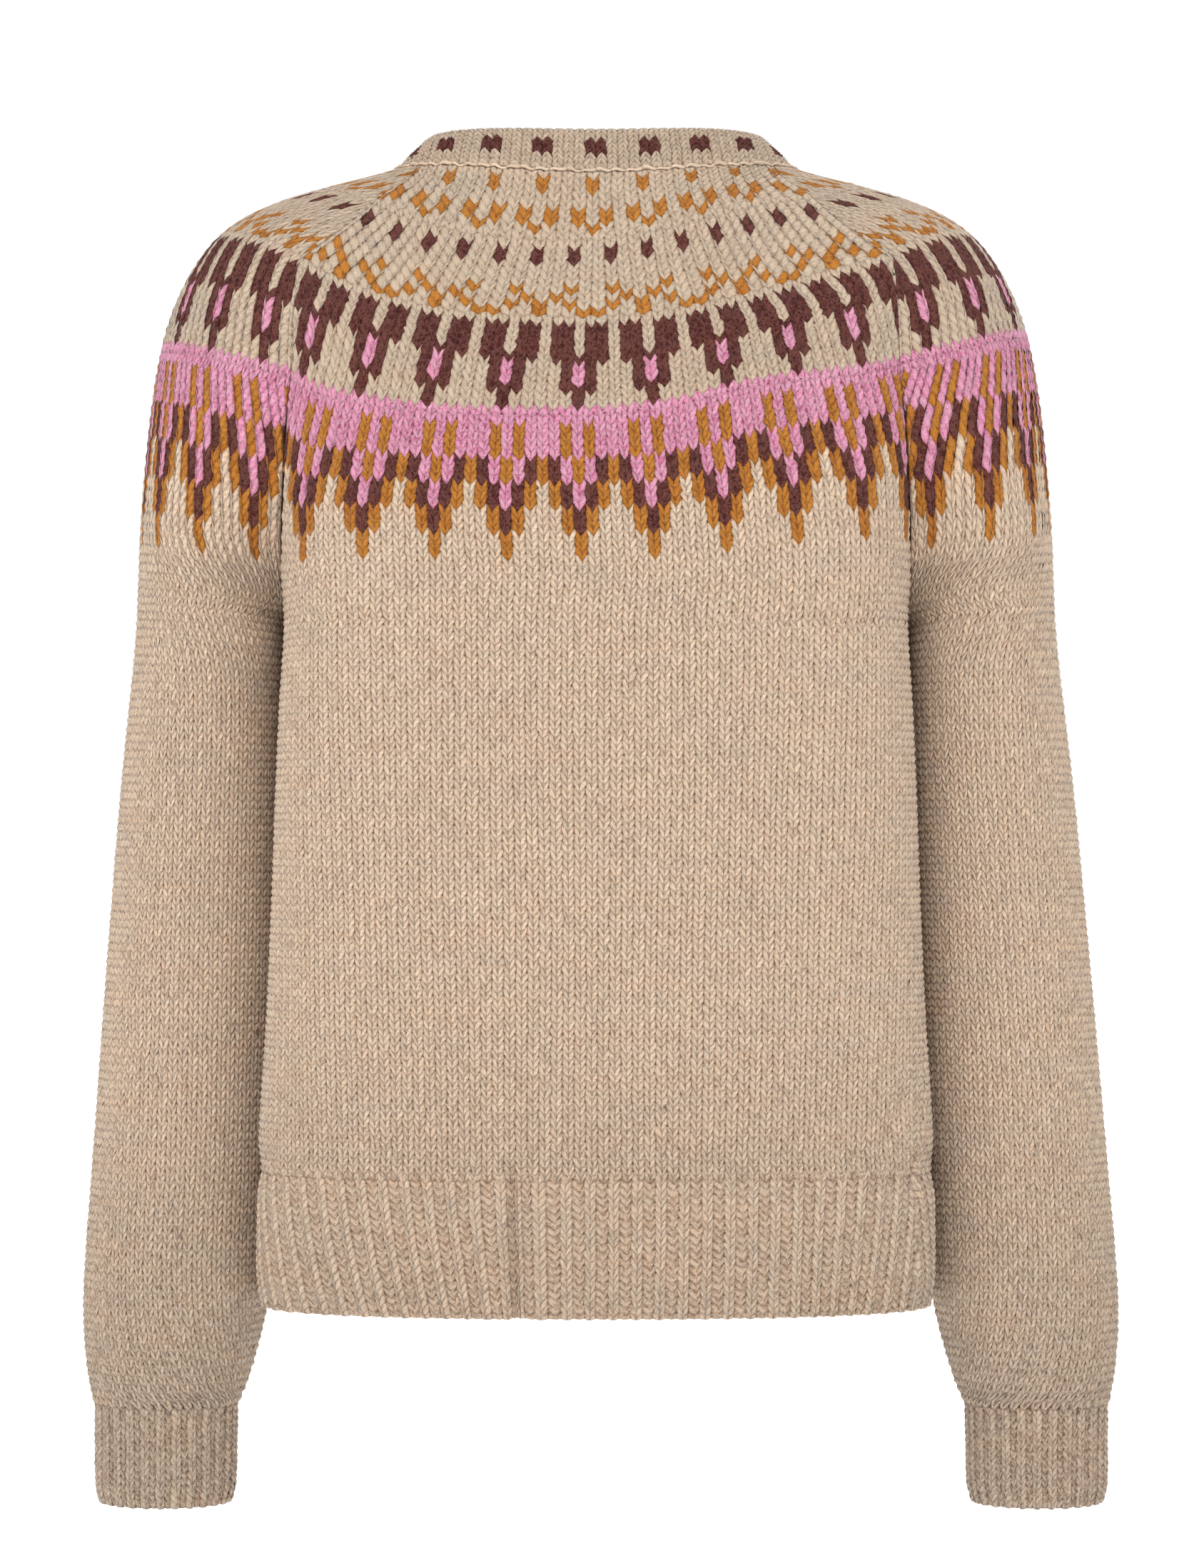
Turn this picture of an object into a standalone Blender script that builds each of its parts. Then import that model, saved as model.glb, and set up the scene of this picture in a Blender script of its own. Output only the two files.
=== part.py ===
"""A buttoned, filled-out cardigan with a round patterned yoke, raglan sleeves and ribbed edges.

The wearer faces -Y, the wearer's left is +X and +Z is up. The origin is the middle of the
neck's base, where the shoulders carry the garment. Every cloth piece is a wall of WALL
thickness, lofted through knitted rows. A row number counts knitted rows: it is negative in
the body, 0 where the yoke pattern starts, 49 at the neck seam and TOP_ROW at the
neckband's free edge. Lengths in the tables are millimetres.
"""

import math

import bmesh
import bpy
import numpy as np
from mathutils import Matrix, Vector

MM = 0.001
WALL = 3.0 * MM
SEAM_GAP = 0.3 * MM
SLANT_GAP = 0.75 * MM
HEM_ROW = -98
ARMPIT_ROW = -8
TOP_ROW = 57
BAND_HALF_WIDTH = 16.0 * MM
OVERLAP_REACH = 19.0 * MM
OVERLAP_LIFT = WALL + 0.5 * MM
STEEPEST = 2.8
SHARP_CREASE = 30.0
ROW_SETBACK = 0.085
BUTTONS = 7
BUTTON_STEPS = 14
BUTTON_RADIUS = 9.0 * MM
BUTTON_THICKNESS = 3.4 * MM
BUTTON_LIFT = 0.6 * MM
SHANK_RADIUS = 1.4 * MM
BUTTONHOLE_WIDTH = 3.6 * MM
BUTTONHOLE_LENGTH = 13.0 * MM
FIRST_BUTTON_ROW = 52.0
LAST_BUTTON_ROW = -93.0

# Seen from the side: where each row crosses the middle of the back and of the front.
CENTRE_COLUMNS = ("row", "back_y", "back_z", "front_y", "front_z")
CENTRE = (
    (-98, 106.0, -566.0, -104.0, -566.0),
    (-94, 107.5, -551.0, -105.5, -551.0),
    (-84, 106.5, -513.0, -104.5, -513.0),
    (-80, 104.5, -498.0, -102.5, -498.0),
    (-77, 108.0, -487.0, -106.0, -487.0),
    (-72, 110.5, -468.0, -108.5, -469.0),
    (-60, 109.0, -424.0, -109.0, -427.0),
    (-45, 107.0, -368.0, -110.0, -374.0),
    (-30, 109.0, -312.0, -114.0, -320.0),
    (-18, 114.0, -267.0, -119.0, -278.0),
    (-8, 118.5, -230.0, -122.5, -242.0),
    (0, 121.0, -200.0, -123.5, -212.0),
    (9, 122.0, -164.0, -122.5, -181.0),
    (18, 119.5, -128.0, -118.5, -150.0),
    (24, 114.5, -107.0, -113.0, -130.0),
    (29, 108.5, -88.0, -106.5, -113.0),
    (34, 100.0, -68.0, -98.5, -97.0),
    (39, 90.0, -48.0, -89.5, -81.0),
    (44, 80.0, -28.0, -81.0, -66.0),
    (49, 71.0, -8.0, -73.5, -53.0),
    (53, 66.5, 3.0, -69.0, -43.0),
    (57, 62.5, 13.5, -65.5, -33.0),
)

# Seen from above: the ring each row would follow round the chest, were there no sleeves.
RING_COLUMNS = ("row", "half_width", "widest_y", "squareness")
RING = (
    (-98, 166.5, 32.0, 0.65),
    (-94, 168.5, 32.0, 0.65),
    (-84, 168.0, 32.0, 0.65),
    (-80, 165.5, 32.0, 0.65),
    (-77, 167.5, 33.0, 0.65),
    (-72, 166.5, 34.0, 0.65),
    (-60, 163.5, 35.0, 0.65),
    (-45, 161.0, 36.0, 0.65),
    (-30, 159.0, 36.0, 0.65),
    (-18, 157.0, 35.5, 0.65),
    (-8, 155.0, 33.0, 0.66),
    (0, 157.5, 31.0, 0.68),
    (9, 161.5, 27.0, 0.70),
    (18, 170.0, 12.0, 0.68),
    (24, 182.0, 2.0, 0.65),
    (29, 192.0, -5.0, 0.62),
    (33, 175.0, -4.0, 0.61),
    (41, 137.0, -1.0, 0.60),
    (49, 101.0, 1.0, 0.57),
    (53, 98.5, 1.0, 0.57),
    (57, 94.0, 1.5, 0.57),
)

# The side seam below the armpit. The body hangs a little turned, so the two sides differ.
SIDE_SEAM_COLUMNS = ("row", "left_y", "right_y")
SIDE_SEAM = (
    (-98, 22.0, 66.0),
    (-80, 20.0, 62.0),
    (-60, 12.0, 46.0),
    (-40, 4.0, 24.0),
    (-20, -3.0, 4.0),
    (-8, -5.0, -5.0),
)

# The raglan seams, from the armpit to the neck, and on across the neckband.
RAGLAN_COLUMNS = ("row", "back_y", "back_z", "front_y", "front_z")
RAGLAN = (
    (-8, -5.0, -230.0, -5.0, -230.0),
    (-6, 12.0, -222.5, -24.0, -224.0),
    (-4, 27.0, -214.0, -40.0, -217.0),
    (0, 48.0, -196.0, -60.0, -201.0),
    (4, 58.0, -176.0, -70.0, -183.0),
    (9, 67.0, -148.0, -78.0, -158.0),
    (18, 76.0, -98.0, -84.0, -113.0),
    (24, 77.0, -72.0, -84.0, -88.0),
    (29, 75.0, -54.0, -81.0, -70.0),
    (33, 70.0, -42.0, -76.0, -57.0),
    (37, 64.0, -31.0, -69.5, -46.0),
    (41, 56.0, -20.0, -62.0, -36.0),
    (45, 46.5, -10.0, -53.0, -30.0),
    (49, 36.0, -1.0, -43.5, -22.0),
    (53, 35.0, 8.5, -42.0, -12.0),
    (57, 33.0, 16.5, -40.0, -4.0),
)

# The sleeve cap's outermost line, which is the shoulder's outline, and how its rows leave
# the seam: turned by a crease angle, with handles as shares of the chord.
CAP_COLUMNS = ("row", "x", "y", "z", "crease", "seam_handle", "outer_handle")
CAP = (
    (-8, 232.5, -25.0, -221.0, 172.0, 1.06, 1.06),
    (-4, 231.8, -24.5, -204.0, 146.0, 0.68, 0.80),
    (0, 231.0, -24.0, -187.0, 116.0, 0.58, 0.70),
    (4, 229.5, -22.0, -166.0, 94.0, 0.50, 0.63),
    (9, 227.0, -19.0, -138.0, 70.0, 0.42, 0.56),
    (18, 219.0, -13.0, -86.0, 30.0, 0.38, 0.50),
    (24, 208.0, -8.0, -57.0, 9.0, 0.36, 0.46),
    (29, 192.0, -5.0, -34.0, 0.0, 0.36, 0.44),
    (33, 175.0, -4.0, -22.5, 0.0, 0.36, 0.44),
    (37, 156.0, -2.5, -15.0, 0.0, 0.36, 0.44),
    (41, 137.5, -1.0, -10.0, 0.0, 0.36, 0.43),
    (45, 119.0, 0.0, -5.0, 0.0, 0.36, 0.42),
    (49, 101.0, 1.0, -0.5, 0.0, 0.36, 0.41),
    (53, 98.5, 1.0, 7.0, 0.0, 0.36, 0.41),
    (57, 94.0, 1.5, 13.0, 0.0, 0.36, 0.41),
)

# The sleeve and cuff as a tube: rows counted down the arm from the armpit.
# The right arm hangs a little further out: by right_swing more than the left one.
TUBE_COLUMNS = (
    "row", "inner_x", "inner_y", "inner_z", "outer_x", "outer_y", "outer_z", "half_depth", "right_swing",
)
TUBE = (
    (0, 152.3, -5.0, -230.0, 232.5, -25.0, -221.0, 66.0, 0.0),
    (3, 154.0, -12.0, -241.0, 233.4, -25.5, -234.0, 65.5, 0.1),
    (7, 155.0, -20.0, -256.0, 235.2, -26.5, -252.0, 64.5, 0.3),
    (18, 155.0, -28.0, -301.0, 240.6, -30.0, -300.0, 62.0, 1.0),
    (34, 155.6, -31.0, -365.0, 246.4, -32.0, -365.0, 59.0, 2.0),
    (52, 158.0, -31.0, -437.0, 252.0, -32.0, -437.0, 56.0, 3.0),
    (68, 161.0, -30.0, -501.0, 256.8, -31.0, -501.0, 53.0, 4.0),
    (79, 164.0, -29.0, -545.0, 260.2, -30.0, -545.0, 51.0, 4.6),
    (85, 168.0, -28.0, -569.0, 261.2, -29.0, -569.0, 48.5, 5.0),
    (90, 173.0, -27.0, -589.0, 260.0, -28.0, -589.0, 45.0, 5.2),
    (94, 178.5, -26.0, -605.0, 257.5, -27.0, -605.0, 40.5, 5.4),
    (96, 182.5, -25.5, -613.0, 254.8, -26.5, -613.0, 36.0, 5.5),
    (100, 183.2, -25.0, -629.0, 254.4, -26.0, -629.0, 33.5, 5.5),
    (107, 183.8, -25.0, -656.0, 254.2, -25.5, -656.0, 33.0, 5.5),
    (110, 186.0, -25.0, -667.0, 252.2, -25.5, -667.0, 31.5, 5.5),
)

# The rows at which the coarse walls are lofted, and how many strips go across each piece.
BODY_ROWS = (-80, -77, -72, -60, -45, -30, -18, -8, -6, -3, 0, 4, 9, 14, 18, 24, 29, 33, 37, 41, 45, 49)
CAP_ROWS = BODY_ROWS[7:]
HEM_ROWS = (-98, -94, -89, -84, -80)
NECKBAND_ROWS = (49, 53, 57)
SLEEVE_ROWS = (0, 3, 7, 18, 34, 52, 68, 79, 85, 90, 94, 96)
CUFF_ROWS = (96, 100, 107, 110)
BACK_STRIPS = 16
FRONT_STRIPS = 8
SLEEVE_STRIPS = 17
CUFF_STRIPS = 20
BAND_STRIPS = 3
SHOULDER_STRIPS = 4
CURVE_STEPS = 60
EDGE_STRIP = 1.5 * MM

CLOTH_COLOURS = {
    "oatmeal": (0.62, 0.46, 0.29, 1.0),
    "oatmeal_rib": (0.58, 0.43, 0.27, 1.0),
}
BUTTON_COLOUR = (0.30, 0.17, 0.09, 1.0)


class Sections:
    """A table of named columns, read at any row through smooth monotone curves."""

    def __init__(self, columns, rows):
        self.columns = columns
        self.values = np.array(rows, dtype=float)
        self.slopes = self.find_slopes()

    def find_slopes(self):
        """The slope of every column at every section, with no overshoot between sections."""
        rows = self.values[:, 0]
        steps = np.diff(rows)[:, None]
        rises = np.diff(self.values, axis=0) / steps
        slopes = np.zeros_like(self.values)
        slopes[0] = rises[0]
        slopes[-1] = rises[-1]
        for i in range(1, len(rows) - 1):
            before = rises[i - 1]
            after = rises[i]
            same_way = before * after > 0
            near = 2 * steps[i] + steps[i - 1]
            far = steps[i] + 2 * steps[i - 1]
            safe_before = np.where(same_way, before, 1.0)
            safe_after = np.where(same_way, after, 1.0)
            mean = (near + far) / (near / safe_before + far / safe_after)
            slopes[i] = np.where(same_way, mean, 0.0)
        return slopes

    def at(self, row):
        """Every column's value at this row, by name."""
        rows = self.values[:, 0]
        row = min(max(row, rows[0]), rows[-1])
        i = int(np.clip(np.searchsorted(rows, row) - 1, 0, len(rows) - 2))
        step = rows[i + 1] - rows[i]
        t = (row - rows[i]) / step
        start = (1 + 2 * t) * (1 - t) ** 2 * self.values[i] + t * (1 - t) ** 2 * step * self.slopes[i]
        end = t * t * (3 - 2 * t) * self.values[i + 1] + t * t * (t - 1) * step * self.slopes[i + 1]
        return dict(zip(self.columns, start + end))


CENTRE_LINE = Sections(CENTRE_COLUMNS, CENTRE)
RING_PLAN = Sections(RING_COLUMNS, RING)
SIDE_SEAM_LINE = Sections(SIDE_SEAM_COLUMNS, SIDE_SEAM)
RAGLAN_LINE = Sections(RAGLAN_COLUMNS, RAGLAN)
CAP_LINE = Sections(CAP_COLUMNS, CAP)
TUBE_LINE = Sections(TUBE_COLUMNS, TUBE)


def bezier(points, steps=CURVE_STEPS):
    """Points along a cubic curve with four control points."""
    t = np.linspace(0.0, 1.0, steps + 1)[:, None]
    start, leave, arrive, end = (np.array(p, dtype=float) for p in points)
    return (1 - t) ** 3 * start + 3 * t * (1 - t) ** 2 * leave + 3 * t * t * (1 - t) * arrive + t**3 * end


def lengths_along(line):
    """The distance from the line's start to each of its points."""
    steps = np.linalg.norm(np.diff(line, axis=0), axis=1)
    return np.concatenate(([0.0], np.cumsum(steps)))


def points_at(line, distances):
    """Points on the line at these distances from its start."""
    along = lengths_along(line)
    return np.stack([np.interp(distances, along, line[:, k]) for k in range(line.shape[1])], axis=1)


def chest_ring(row):
    """Half of a row's ring in plan, from the middle of the back round +X to the front."""
    ring = RING_PLAN.at(row)
    centre = CENTRE_LINE.at(row)
    width = ring["half_width"]
    side_y = ring["widest_y"]
    pull = ring["squareness"]
    back_y = centre["back_y"]
    front_y = centre["front_y"]
    back = bezier((
        (0.0, back_y),
        (width * pull, back_y),
        (width, side_y + (back_y - side_y) * pull),
        (width, side_y),
    ))
    front = bezier((
        (width, side_y),
        (width, side_y + (front_y - side_y) * pull),
        (width * pull, front_y),
        (0.0, front_y),
    ))
    return np.vstack((back, front[1:]))


def seam_place(row, side, face):
    """The seam's y, and its z, on one side of the back or front at this row."""
    if row <= ARMPIT_ROW:
        return SIDE_SEAM_LINE.at(row)[side + "_y"], CENTRE_LINE.at(row)["back_z"]
    seam = RAGLAN_LINE.at(row)
    return seam[face + "_y"], seam[face + "_z"]


def cut_at_y(ring, seam_y):
    """The ring from its start to where it passes seam_y, going towards the front."""
    past = int(np.argmax(ring[:, 1] < seam_y))
    share = (ring[past - 1, 1] - seam_y) / (ring[past - 1, 1] - ring[past, 1])
    crossing = ring[past - 1] + share * (ring[past] - ring[past - 1])
    return np.vstack((ring[:past], crossing))


def eased(share, start_slope, end_slope):
    """A rise from 0 to 1 with these slopes at its two ends."""
    rise = share * share * (3 - 2 * share)
    return rise + start_slope * share * (1 - share) ** 2 + end_slope * share * share * (share - 1)


def body_plan(row, side, face):
    """A row of the back or a front in plan, from the middle to the +X seam."""
    seam_y = seam_place(row, side, face)[0]
    ring = chest_ring(row)
    if face == "back":
        return cut_at_y(ring, seam_y)
    return cut_at_y(ring[::-1] * (1.0, -1.0), -seam_y) * (1.0, -1.0)


def cap_plan(row, face):
    """A row of a sleeve's cap in plan, from the raglan seam to the shoulder's outline."""
    body = body_plan(row, "left", face)
    cap = CAP_LINE.at(row)
    flip = 1.0 if face == "back" else -1.0
    seam = body[-1] * (1.0, flip)
    outer = np.array((cap["x"], cap["y"] * flip))
    heading = (body[-1] - body[-2]) * (1.0, flip)
    angle = math.atan2(heading[1], heading[0]) + math.radians(cap["crease"])
    chord = np.linalg.norm(outer - seam)
    leave = seam + chord * cap["seam_handle"] * np.array((math.cos(angle), math.sin(angle)))
    arrive = outer + (0.0, chord * cap["outer_handle"])
    return bezier((seam, leave, arrive, outer)) * (1.0, flip)


def row_climb(row, side, face):
    """How a row climbs: body length and rise, cap length and rise, and the slope at the seam."""
    seam_z = seam_place(row, side, face)[1]
    body_rise = seam_z - CENTRE_LINE.at(row)[face + "_z"]
    body_length = lengths_along(body_plan(row, side, face))[-1]
    if row < ARMPIT_ROW:
        return {"body_rise": body_rise, "body_slope": 0.0}
    cap = CAP_LINE.at(row)
    cap_rise = cap["z"] - seam_z
    cap_length = lengths_along(cap_plan(row, face))[-1]
    gentler = min(max(body_rise, 0.0) / body_length, max(cap_rise, 0.0) / cap_length)
    smooth = STEEPEST * gentler
    creased = min(cap["crease"] / SHARP_CREASE, 1.0)
    body_slope = smooth * body_length / max(body_rise, 0.1)
    cap_slope = smooth * cap_length / max(cap_rise, 0.1)
    return {
        "body_rise": body_rise,
        "body_slope": body_slope + (STEEPEST - body_slope) * creased,
        "cap_rise": cap_rise,
        "cap_slope": cap_slope + (1.5 - cap_slope) * creased,
    }


def half_row(row, side, face):
    """One row of the back or a front on the +X side, from the middle to the seam."""
    plan = body_plan(row, side, face)
    along = lengths_along(plan)
    climb = row_climb(row, side, face)
    rise = climb["body_rise"] * eased(along / along[-1], 0.0, climb["body_slope"])
    return np.column_stack((plan, CENTRE_LINE.at(row)[face + "_z"] + rise))


def cap_half(row, face):
    """One row of a sleeve's cap, from the raglan seam to the shoulder's outline."""
    plan = cap_plan(row, face)
    along = lengths_along(plan)
    climb = row_climb(row, "left", face)
    rise = climb["cap_rise"] * eased(along / along[-1], climb["cap_slope"], 0.0)
    return np.column_stack((plan, seam_place(row, "left", face)[1] + rise))


def cap_row(row):
    """A whole row of the left sleeve's cap, from the back seam over the shoulder to the front."""
    back = cap_half(row, "back")
    front = cap_half(row, "front")
    return np.vstack((back, front[-2::-1]))


def tube_row(row, side):
    """A whole row of a sleeve or cuff, drawn on the left, from its underarm seam round the back."""
    tube = TUBE_LINE.at(row)
    swing = tube["right_swing"] if side == "right" else 0.0
    inner = np.array((tube["inner_x"] + swing, tube["inner_y"]))
    outer = np.array((tube["outer_x"] + swing, tube["outer_y"]))
    reach = np.array((0.0, tube["half_depth"] * 4 / 3))
    back = bezier((inner, inner + reach, outer + reach, outer))
    front = bezier((outer, outer - reach, inner - reach, inner))
    plan = np.vstack((back, front[1:]))
    turn = np.linspace(0.0, 2 * math.pi, len(plan))
    heights = tube["inner_z"] + (tube["outer_z"] - tube["inner_z"]) * (1 - np.cos(turn)) / 2
    return np.column_stack((plan, heights))


def mirrored(line):
    """The same line on the wearer's right."""
    return line * (-1.0, 1.0, 1.0)


def strip_stops(start, end, strips):
    """Distances that divide a row: a narrow strip at each end keeps the seams in line."""
    inner = np.linspace(start + EDGE_STRIP, end - EDGE_STRIP, strips - 1)
    return np.concatenate(([start], inner, [end]))


def seamed_points(line, strips, start_gap, end_gap):
    """The line in metres, cut back at both ends and divided into strips."""
    line = line * MM
    length = lengths_along(line)[-1]
    return points_at(line, strip_stops(start_gap, length - end_gap, strips))


def ring_points(line, strips):
    """A closed line in metres, divided into equal strips, without its repeated last point."""
    line = line * MM
    length = lengths_along(line)[-1]
    return points_at(line, np.linspace(0.0, length, strips + 1))[:-1]


def back_points(row, strips):
    """A row of the back or its hem, from the left seam to the right seam."""
    left = half_row(row, "left", "back")
    right = mirrored(half_row(row, "right", "back"))
    return seamed_points(np.vstack((left[::-1], right[1:])), strips, SLANT_GAP / 2, SLANT_GAP / 2)


def front_points(row, strips, side):
    """A row of one front or its hem, from the side or raglan seam to the button band."""
    line = half_row(row, side, "front")[::-1]
    points = seamed_points(line, strips, SLANT_GAP / 2, BAND_HALF_WIDTH + SEAM_GAP)
    return points if side == "left" else points * (-1.0, 1.0, 1.0)


def trimmed(rows):
    """Row numbers with the first and last pulled in, to leave a seam gap above and below."""
    inner = list(rows)
    inner[0] += ROW_SETBACK
    inner[-1] -= ROW_SETBACK
    return inner


def make_material(name, colour, roughness):
    """A plain surface with this colour and roughness."""
    material = bpy.data.materials.new(name)
    material.use_nodes = True
    shader = material.node_tree.nodes["Principled BSDF"]
    shader.inputs["Base Color"].default_value = colour
    shader.inputs["Roughness"].default_value = roughness
    shader.inputs["Metallic"].default_value = 0.0
    material.diffuse_color = colour
    return material


def add_object(name, mesh, collection, material):
    """A new object in the garment's collection, with its own material."""
    piece = bpy.data.objects.new(name, mesh)
    collection.objects.link(piece)
    piece.data.materials.append(material)
    return piece


def wall_from_rows(name, rows, collection, material, closed=False):
    """Lofts a surface through rows of points and thickens it inwards.

    The rows go from the hem upwards and each runs anticlockwise seen from above, so that the
    faces point out of the garment.
    """
    mesh = bpy.data.meshes.new(name)
    form = bmesh.new()
    grid = [[form.verts.new(point) for point in row] for row in rows]
    strips = len(grid[0])
    for lower, upper in zip(grid, grid[1:]):
        for i in range(strips if closed else strips - 1):
            j = (i + 1) % strips
            form.faces.new((lower[i], lower[j], upper[j], upper[i]))
    form.to_mesh(mesh)
    form.free()
    mesh.shade_smooth()
    piece = add_object(name, mesh, collection, material)
    wall = piece.modifiers.new("wall", "SOLIDIFY")
    wall.thickness = WALL
    wall.offset = -1.0
    wall.use_rim = True
    return piece


def build_back(collection, cloth):
    """The back, from its rib to the neck seam, and the hem rib below it."""
    rows = [back_points(row, BACK_STRIPS) for row in trimmed(BODY_ROWS)]
    wall_from_rows("back", rows, collection, cloth["oatmeal"])
    rows = [back_points(row, BACK_STRIPS) for row in trimmed(HEM_ROWS)]
    wall_from_rows("hem_rib_back", rows, collection, cloth["oatmeal_rib"])


def build_front(side, collection, cloth):
    """One front and the hem rib below it."""
    order = -1 if side == "left" else 1
    rows = [front_points(row, FRONT_STRIPS, side)[::order] for row in trimmed(BODY_ROWS)]
    wall_from_rows("front_" + side, rows, collection, cloth["oatmeal"])
    rows = [front_points(row, FRONT_STRIPS, side)[::order] for row in trimmed(HEM_ROWS)]
    wall_from_rows("hem_rib_front_" + side, rows, collection, cloth["oatmeal_rib"])


def on_side(line, side):
    """A sleeve's line on its own side, still running round the arm the same way."""
    return line if side == "left" else mirrored(line)[::-1]


def build_sleeve(side, collection, cloth):
    """One raglan sleeve with its cap, and the cuff below it."""
    rows = []
    for row in trimmed(SLEEVE_ROWS)[:0:-1]:
        line = on_side(tube_row(row, side), side)
        rows.append(seamed_points(line, SLEEVE_STRIPS, SEAM_GAP / 2, SEAM_GAP / 2)[::-1])
    for row in trimmed(CAP_ROWS):
        line = on_side(cap_row(row), side)
        rows.append(seamed_points(line, SLEEVE_STRIPS, SLANT_GAP / 2, SLANT_GAP / 2)[::-1])
    wall_from_rows("sleeve_" + side, rows, collection, cloth["oatmeal"])
    rings = []
    for row in trimmed(CUFF_ROWS)[::-1]:
        rings.append(ring_points(on_side(tube_row(row, side), side), CUFF_STRIPS)[::-1])
    wall_from_rows("cuff_" + side, rings, collection, cloth["oatmeal_rib"], closed=True)


def neckband_points(row):
    """A whole neckband row, from the left front's edge round the back to the right front's."""
    stretches = (
        (half_row(row, "left", "back"), BACK_STRIPS // 2),
        (cap_half(row, "back"), SHOULDER_STRIPS),
        (cap_half(row, "front")[::-1], SHOULDER_STRIPS),
        (half_row(row, "left", "front")[::-1], FRONT_STRIPS),
    )
    points = []
    for number, (line, strips) in enumerate(stretches, start=1):
        line = line * MM
        end = lengths_along(line)[-1]
        if number == len(stretches):
            end -= BAND_HALF_WIDTH + SEAM_GAP
        points.append(points_at(line, np.linspace(0.0, end, strips + 1))[1:])
    first = half_row(row, "left", "back")[:1] * MM
    left = np.vstack([first] + points)
    return np.vstack((left[::-1], (left * (-1.0, 1.0, 1.0))[1:]))


def build_neckband(collection, cloth):
    """The ribbed neckband, one strip from front edge to front edge."""
    rows = [neckband_points(row) for row in trimmed(NECKBAND_ROWS)]
    wall_from_rows("neckband", rows, collection, cloth["oatmeal_rib"])


def band_rows():
    """The rows at which the button bands are lofted, from the hem to the neckband's top."""
    rows = sorted(set(HEM_ROWS + BODY_ROWS + NECKBAND_ROWS))
    return trimmed(rows)


def band_frame(row):
    """The front's middle at this row and the direction straight out of the cloth there."""
    here = CENTRE_LINE.at(row)
    above = CENTRE_LINE.at(min(row + 1, TOP_ROW))
    below = CENTRE_LINE.at(max(row - 1, HEM_ROW))
    climb = Vector((0.0, above["front_y"] - below["front_y"], above["front_z"] - below["front_z"]))
    outward = climb.cross(Vector((1.0, 0.0, 0.0))).normalized()
    return Vector((0.0, here["front_y"] * MM, here["front_z"] * MM)), -outward


def band_points(row, start_x, end_x, lift):
    """A row across a button band, lying on the front's curve and lifted off it."""
    middle, outward = band_frame(row)
    ring = chest_ring(row)[::-1]
    points = []
    for x in np.linspace(start_x, end_x, BAND_STRIPS + 1):
        curve_y = np.interp(abs(x), ring[:CURVE_STEPS, 0] * MM, ring[:CURVE_STEPS, 1] * MM)
        on_cloth = Vector((x, curve_y, middle.z))
        points.append(on_cloth + outward * lift)
    return points


def build_bands(collection, cloth):
    """The button band on the left front and the buttonhole band lying over it."""
    under = [band_points(row, -BAND_HALF_WIDTH, BAND_HALF_WIDTH, 0.0) for row in band_rows()]
    wall_from_rows("button_band_left", under, collection, cloth["oatmeal_rib"])
    over = [band_points(row, -OVERLAP_REACH, BAND_HALF_WIDTH - 2 * MM, OVERLAP_LIFT) for row in band_rows()]
    return wall_from_rows("buttonhole_band_right", over, collection, cloth["oatmeal_rib"])


def button_places():
    """Where each button sits: a point on the left band's face and the way it faces."""
    places = []
    for row in np.linspace(FIRST_BUTTON_ROW, LAST_BUTTON_ROW, BUTTONS):
        middle, outward = band_frame(row)
        middle.z = CENTRE_LINE.at(row)["front_z"] * MM
        places.append((middle, outward))
    return places


def stand_on(place, outward, height):
    """A placing that sets +Z along outward, this height above the place."""
    turn = outward.to_track_quat("Z", "Y").to_matrix().to_4x4()
    return Matrix.Translation(place + outward * height) @ turn


def cut_buttonholes(band, places, cutters):
    """Cuts an upright slot through the right band under every button."""
    for number, (place, outward) in enumerate(places, start=1):
        mesh = bpy.data.meshes.new("buttonhole_%d" % number)
        form = bmesh.new()
        bmesh.ops.create_cube(form, size=1.0)
        bmesh.ops.scale(form, vec=(BUTTONHOLE_WIDTH, BUTTONHOLE_LENGTH, WALL * 3), verts=form.verts)
        form.to_mesh(mesh)
        form.free()
        cutter = bpy.data.objects.new("buttonhole_%d" % number, mesh)
        cutters.objects.link(cutter)
        cutter.matrix_world = stand_on(place, outward, WALL * 0.5 + SEAM_GAP)
        cutter.hide_render = True
        cutter.display_type = "WIRE"
        cut = band.modifiers.new("buttonhole_%d" % number, "BOOLEAN")
        cut.operation = "DIFFERENCE"
        cut.solver = "EXACT"
        cut.object = cutter


def button_profile():
    """The button turned round its own axis: thread shank, back, rim and dished face."""
    base = OVERLAP_LIFT + BUTTON_LIFT
    top = base + BUTTON_THICKNESS
    return (
        (0.0, SEAM_GAP),
        (SHANK_RADIUS, SEAM_GAP),
        (SHANK_RADIUS, base),
        (BUTTON_RADIUS - 1.2 * MM, base),
        (BUTTON_RADIUS, base + 1.2 * MM),
        (BUTTON_RADIUS - 1.0 * MM, top),
        (BUTTON_RADIUS - 2.4 * MM, top - 0.7 * MM),
        (0.0, top - 0.9 * MM),
    )


def build_buttons(places, collection, material):
    """A row of buttons, each on its shank through its buttonhole."""
    profile = button_profile()
    for number, (place, outward) in enumerate(places, start=1):
        name = "button_%d" % number
        mesh = bpy.data.meshes.new(name)
        form = bmesh.new()
        points = [form.verts.new((radius, 0.0, height)) for radius, height in profile]
        edges = [form.edges.new(pair) for pair in zip(points, points[1:])]
        bmesh.ops.spin(
            form,
            geom=points + edges,
            cent=(0, 0, 0),
            axis=(0, 0, 1),
            angle=math.tau,
            steps=BUTTON_STEPS,
            use_merge=True,
        )
        bmesh.ops.remove_doubles(form, verts=form.verts[:], dist=0.01 * MM)
        bmesh.ops.recalc_face_normals(form, faces=form.faces[:])
        form.to_mesh(mesh)
        form.free()
        mesh.shade_smooth()
        button = add_object(name, mesh, collection, material)
        button.matrix_world = stand_on(place, outward, 0.0)


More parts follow.
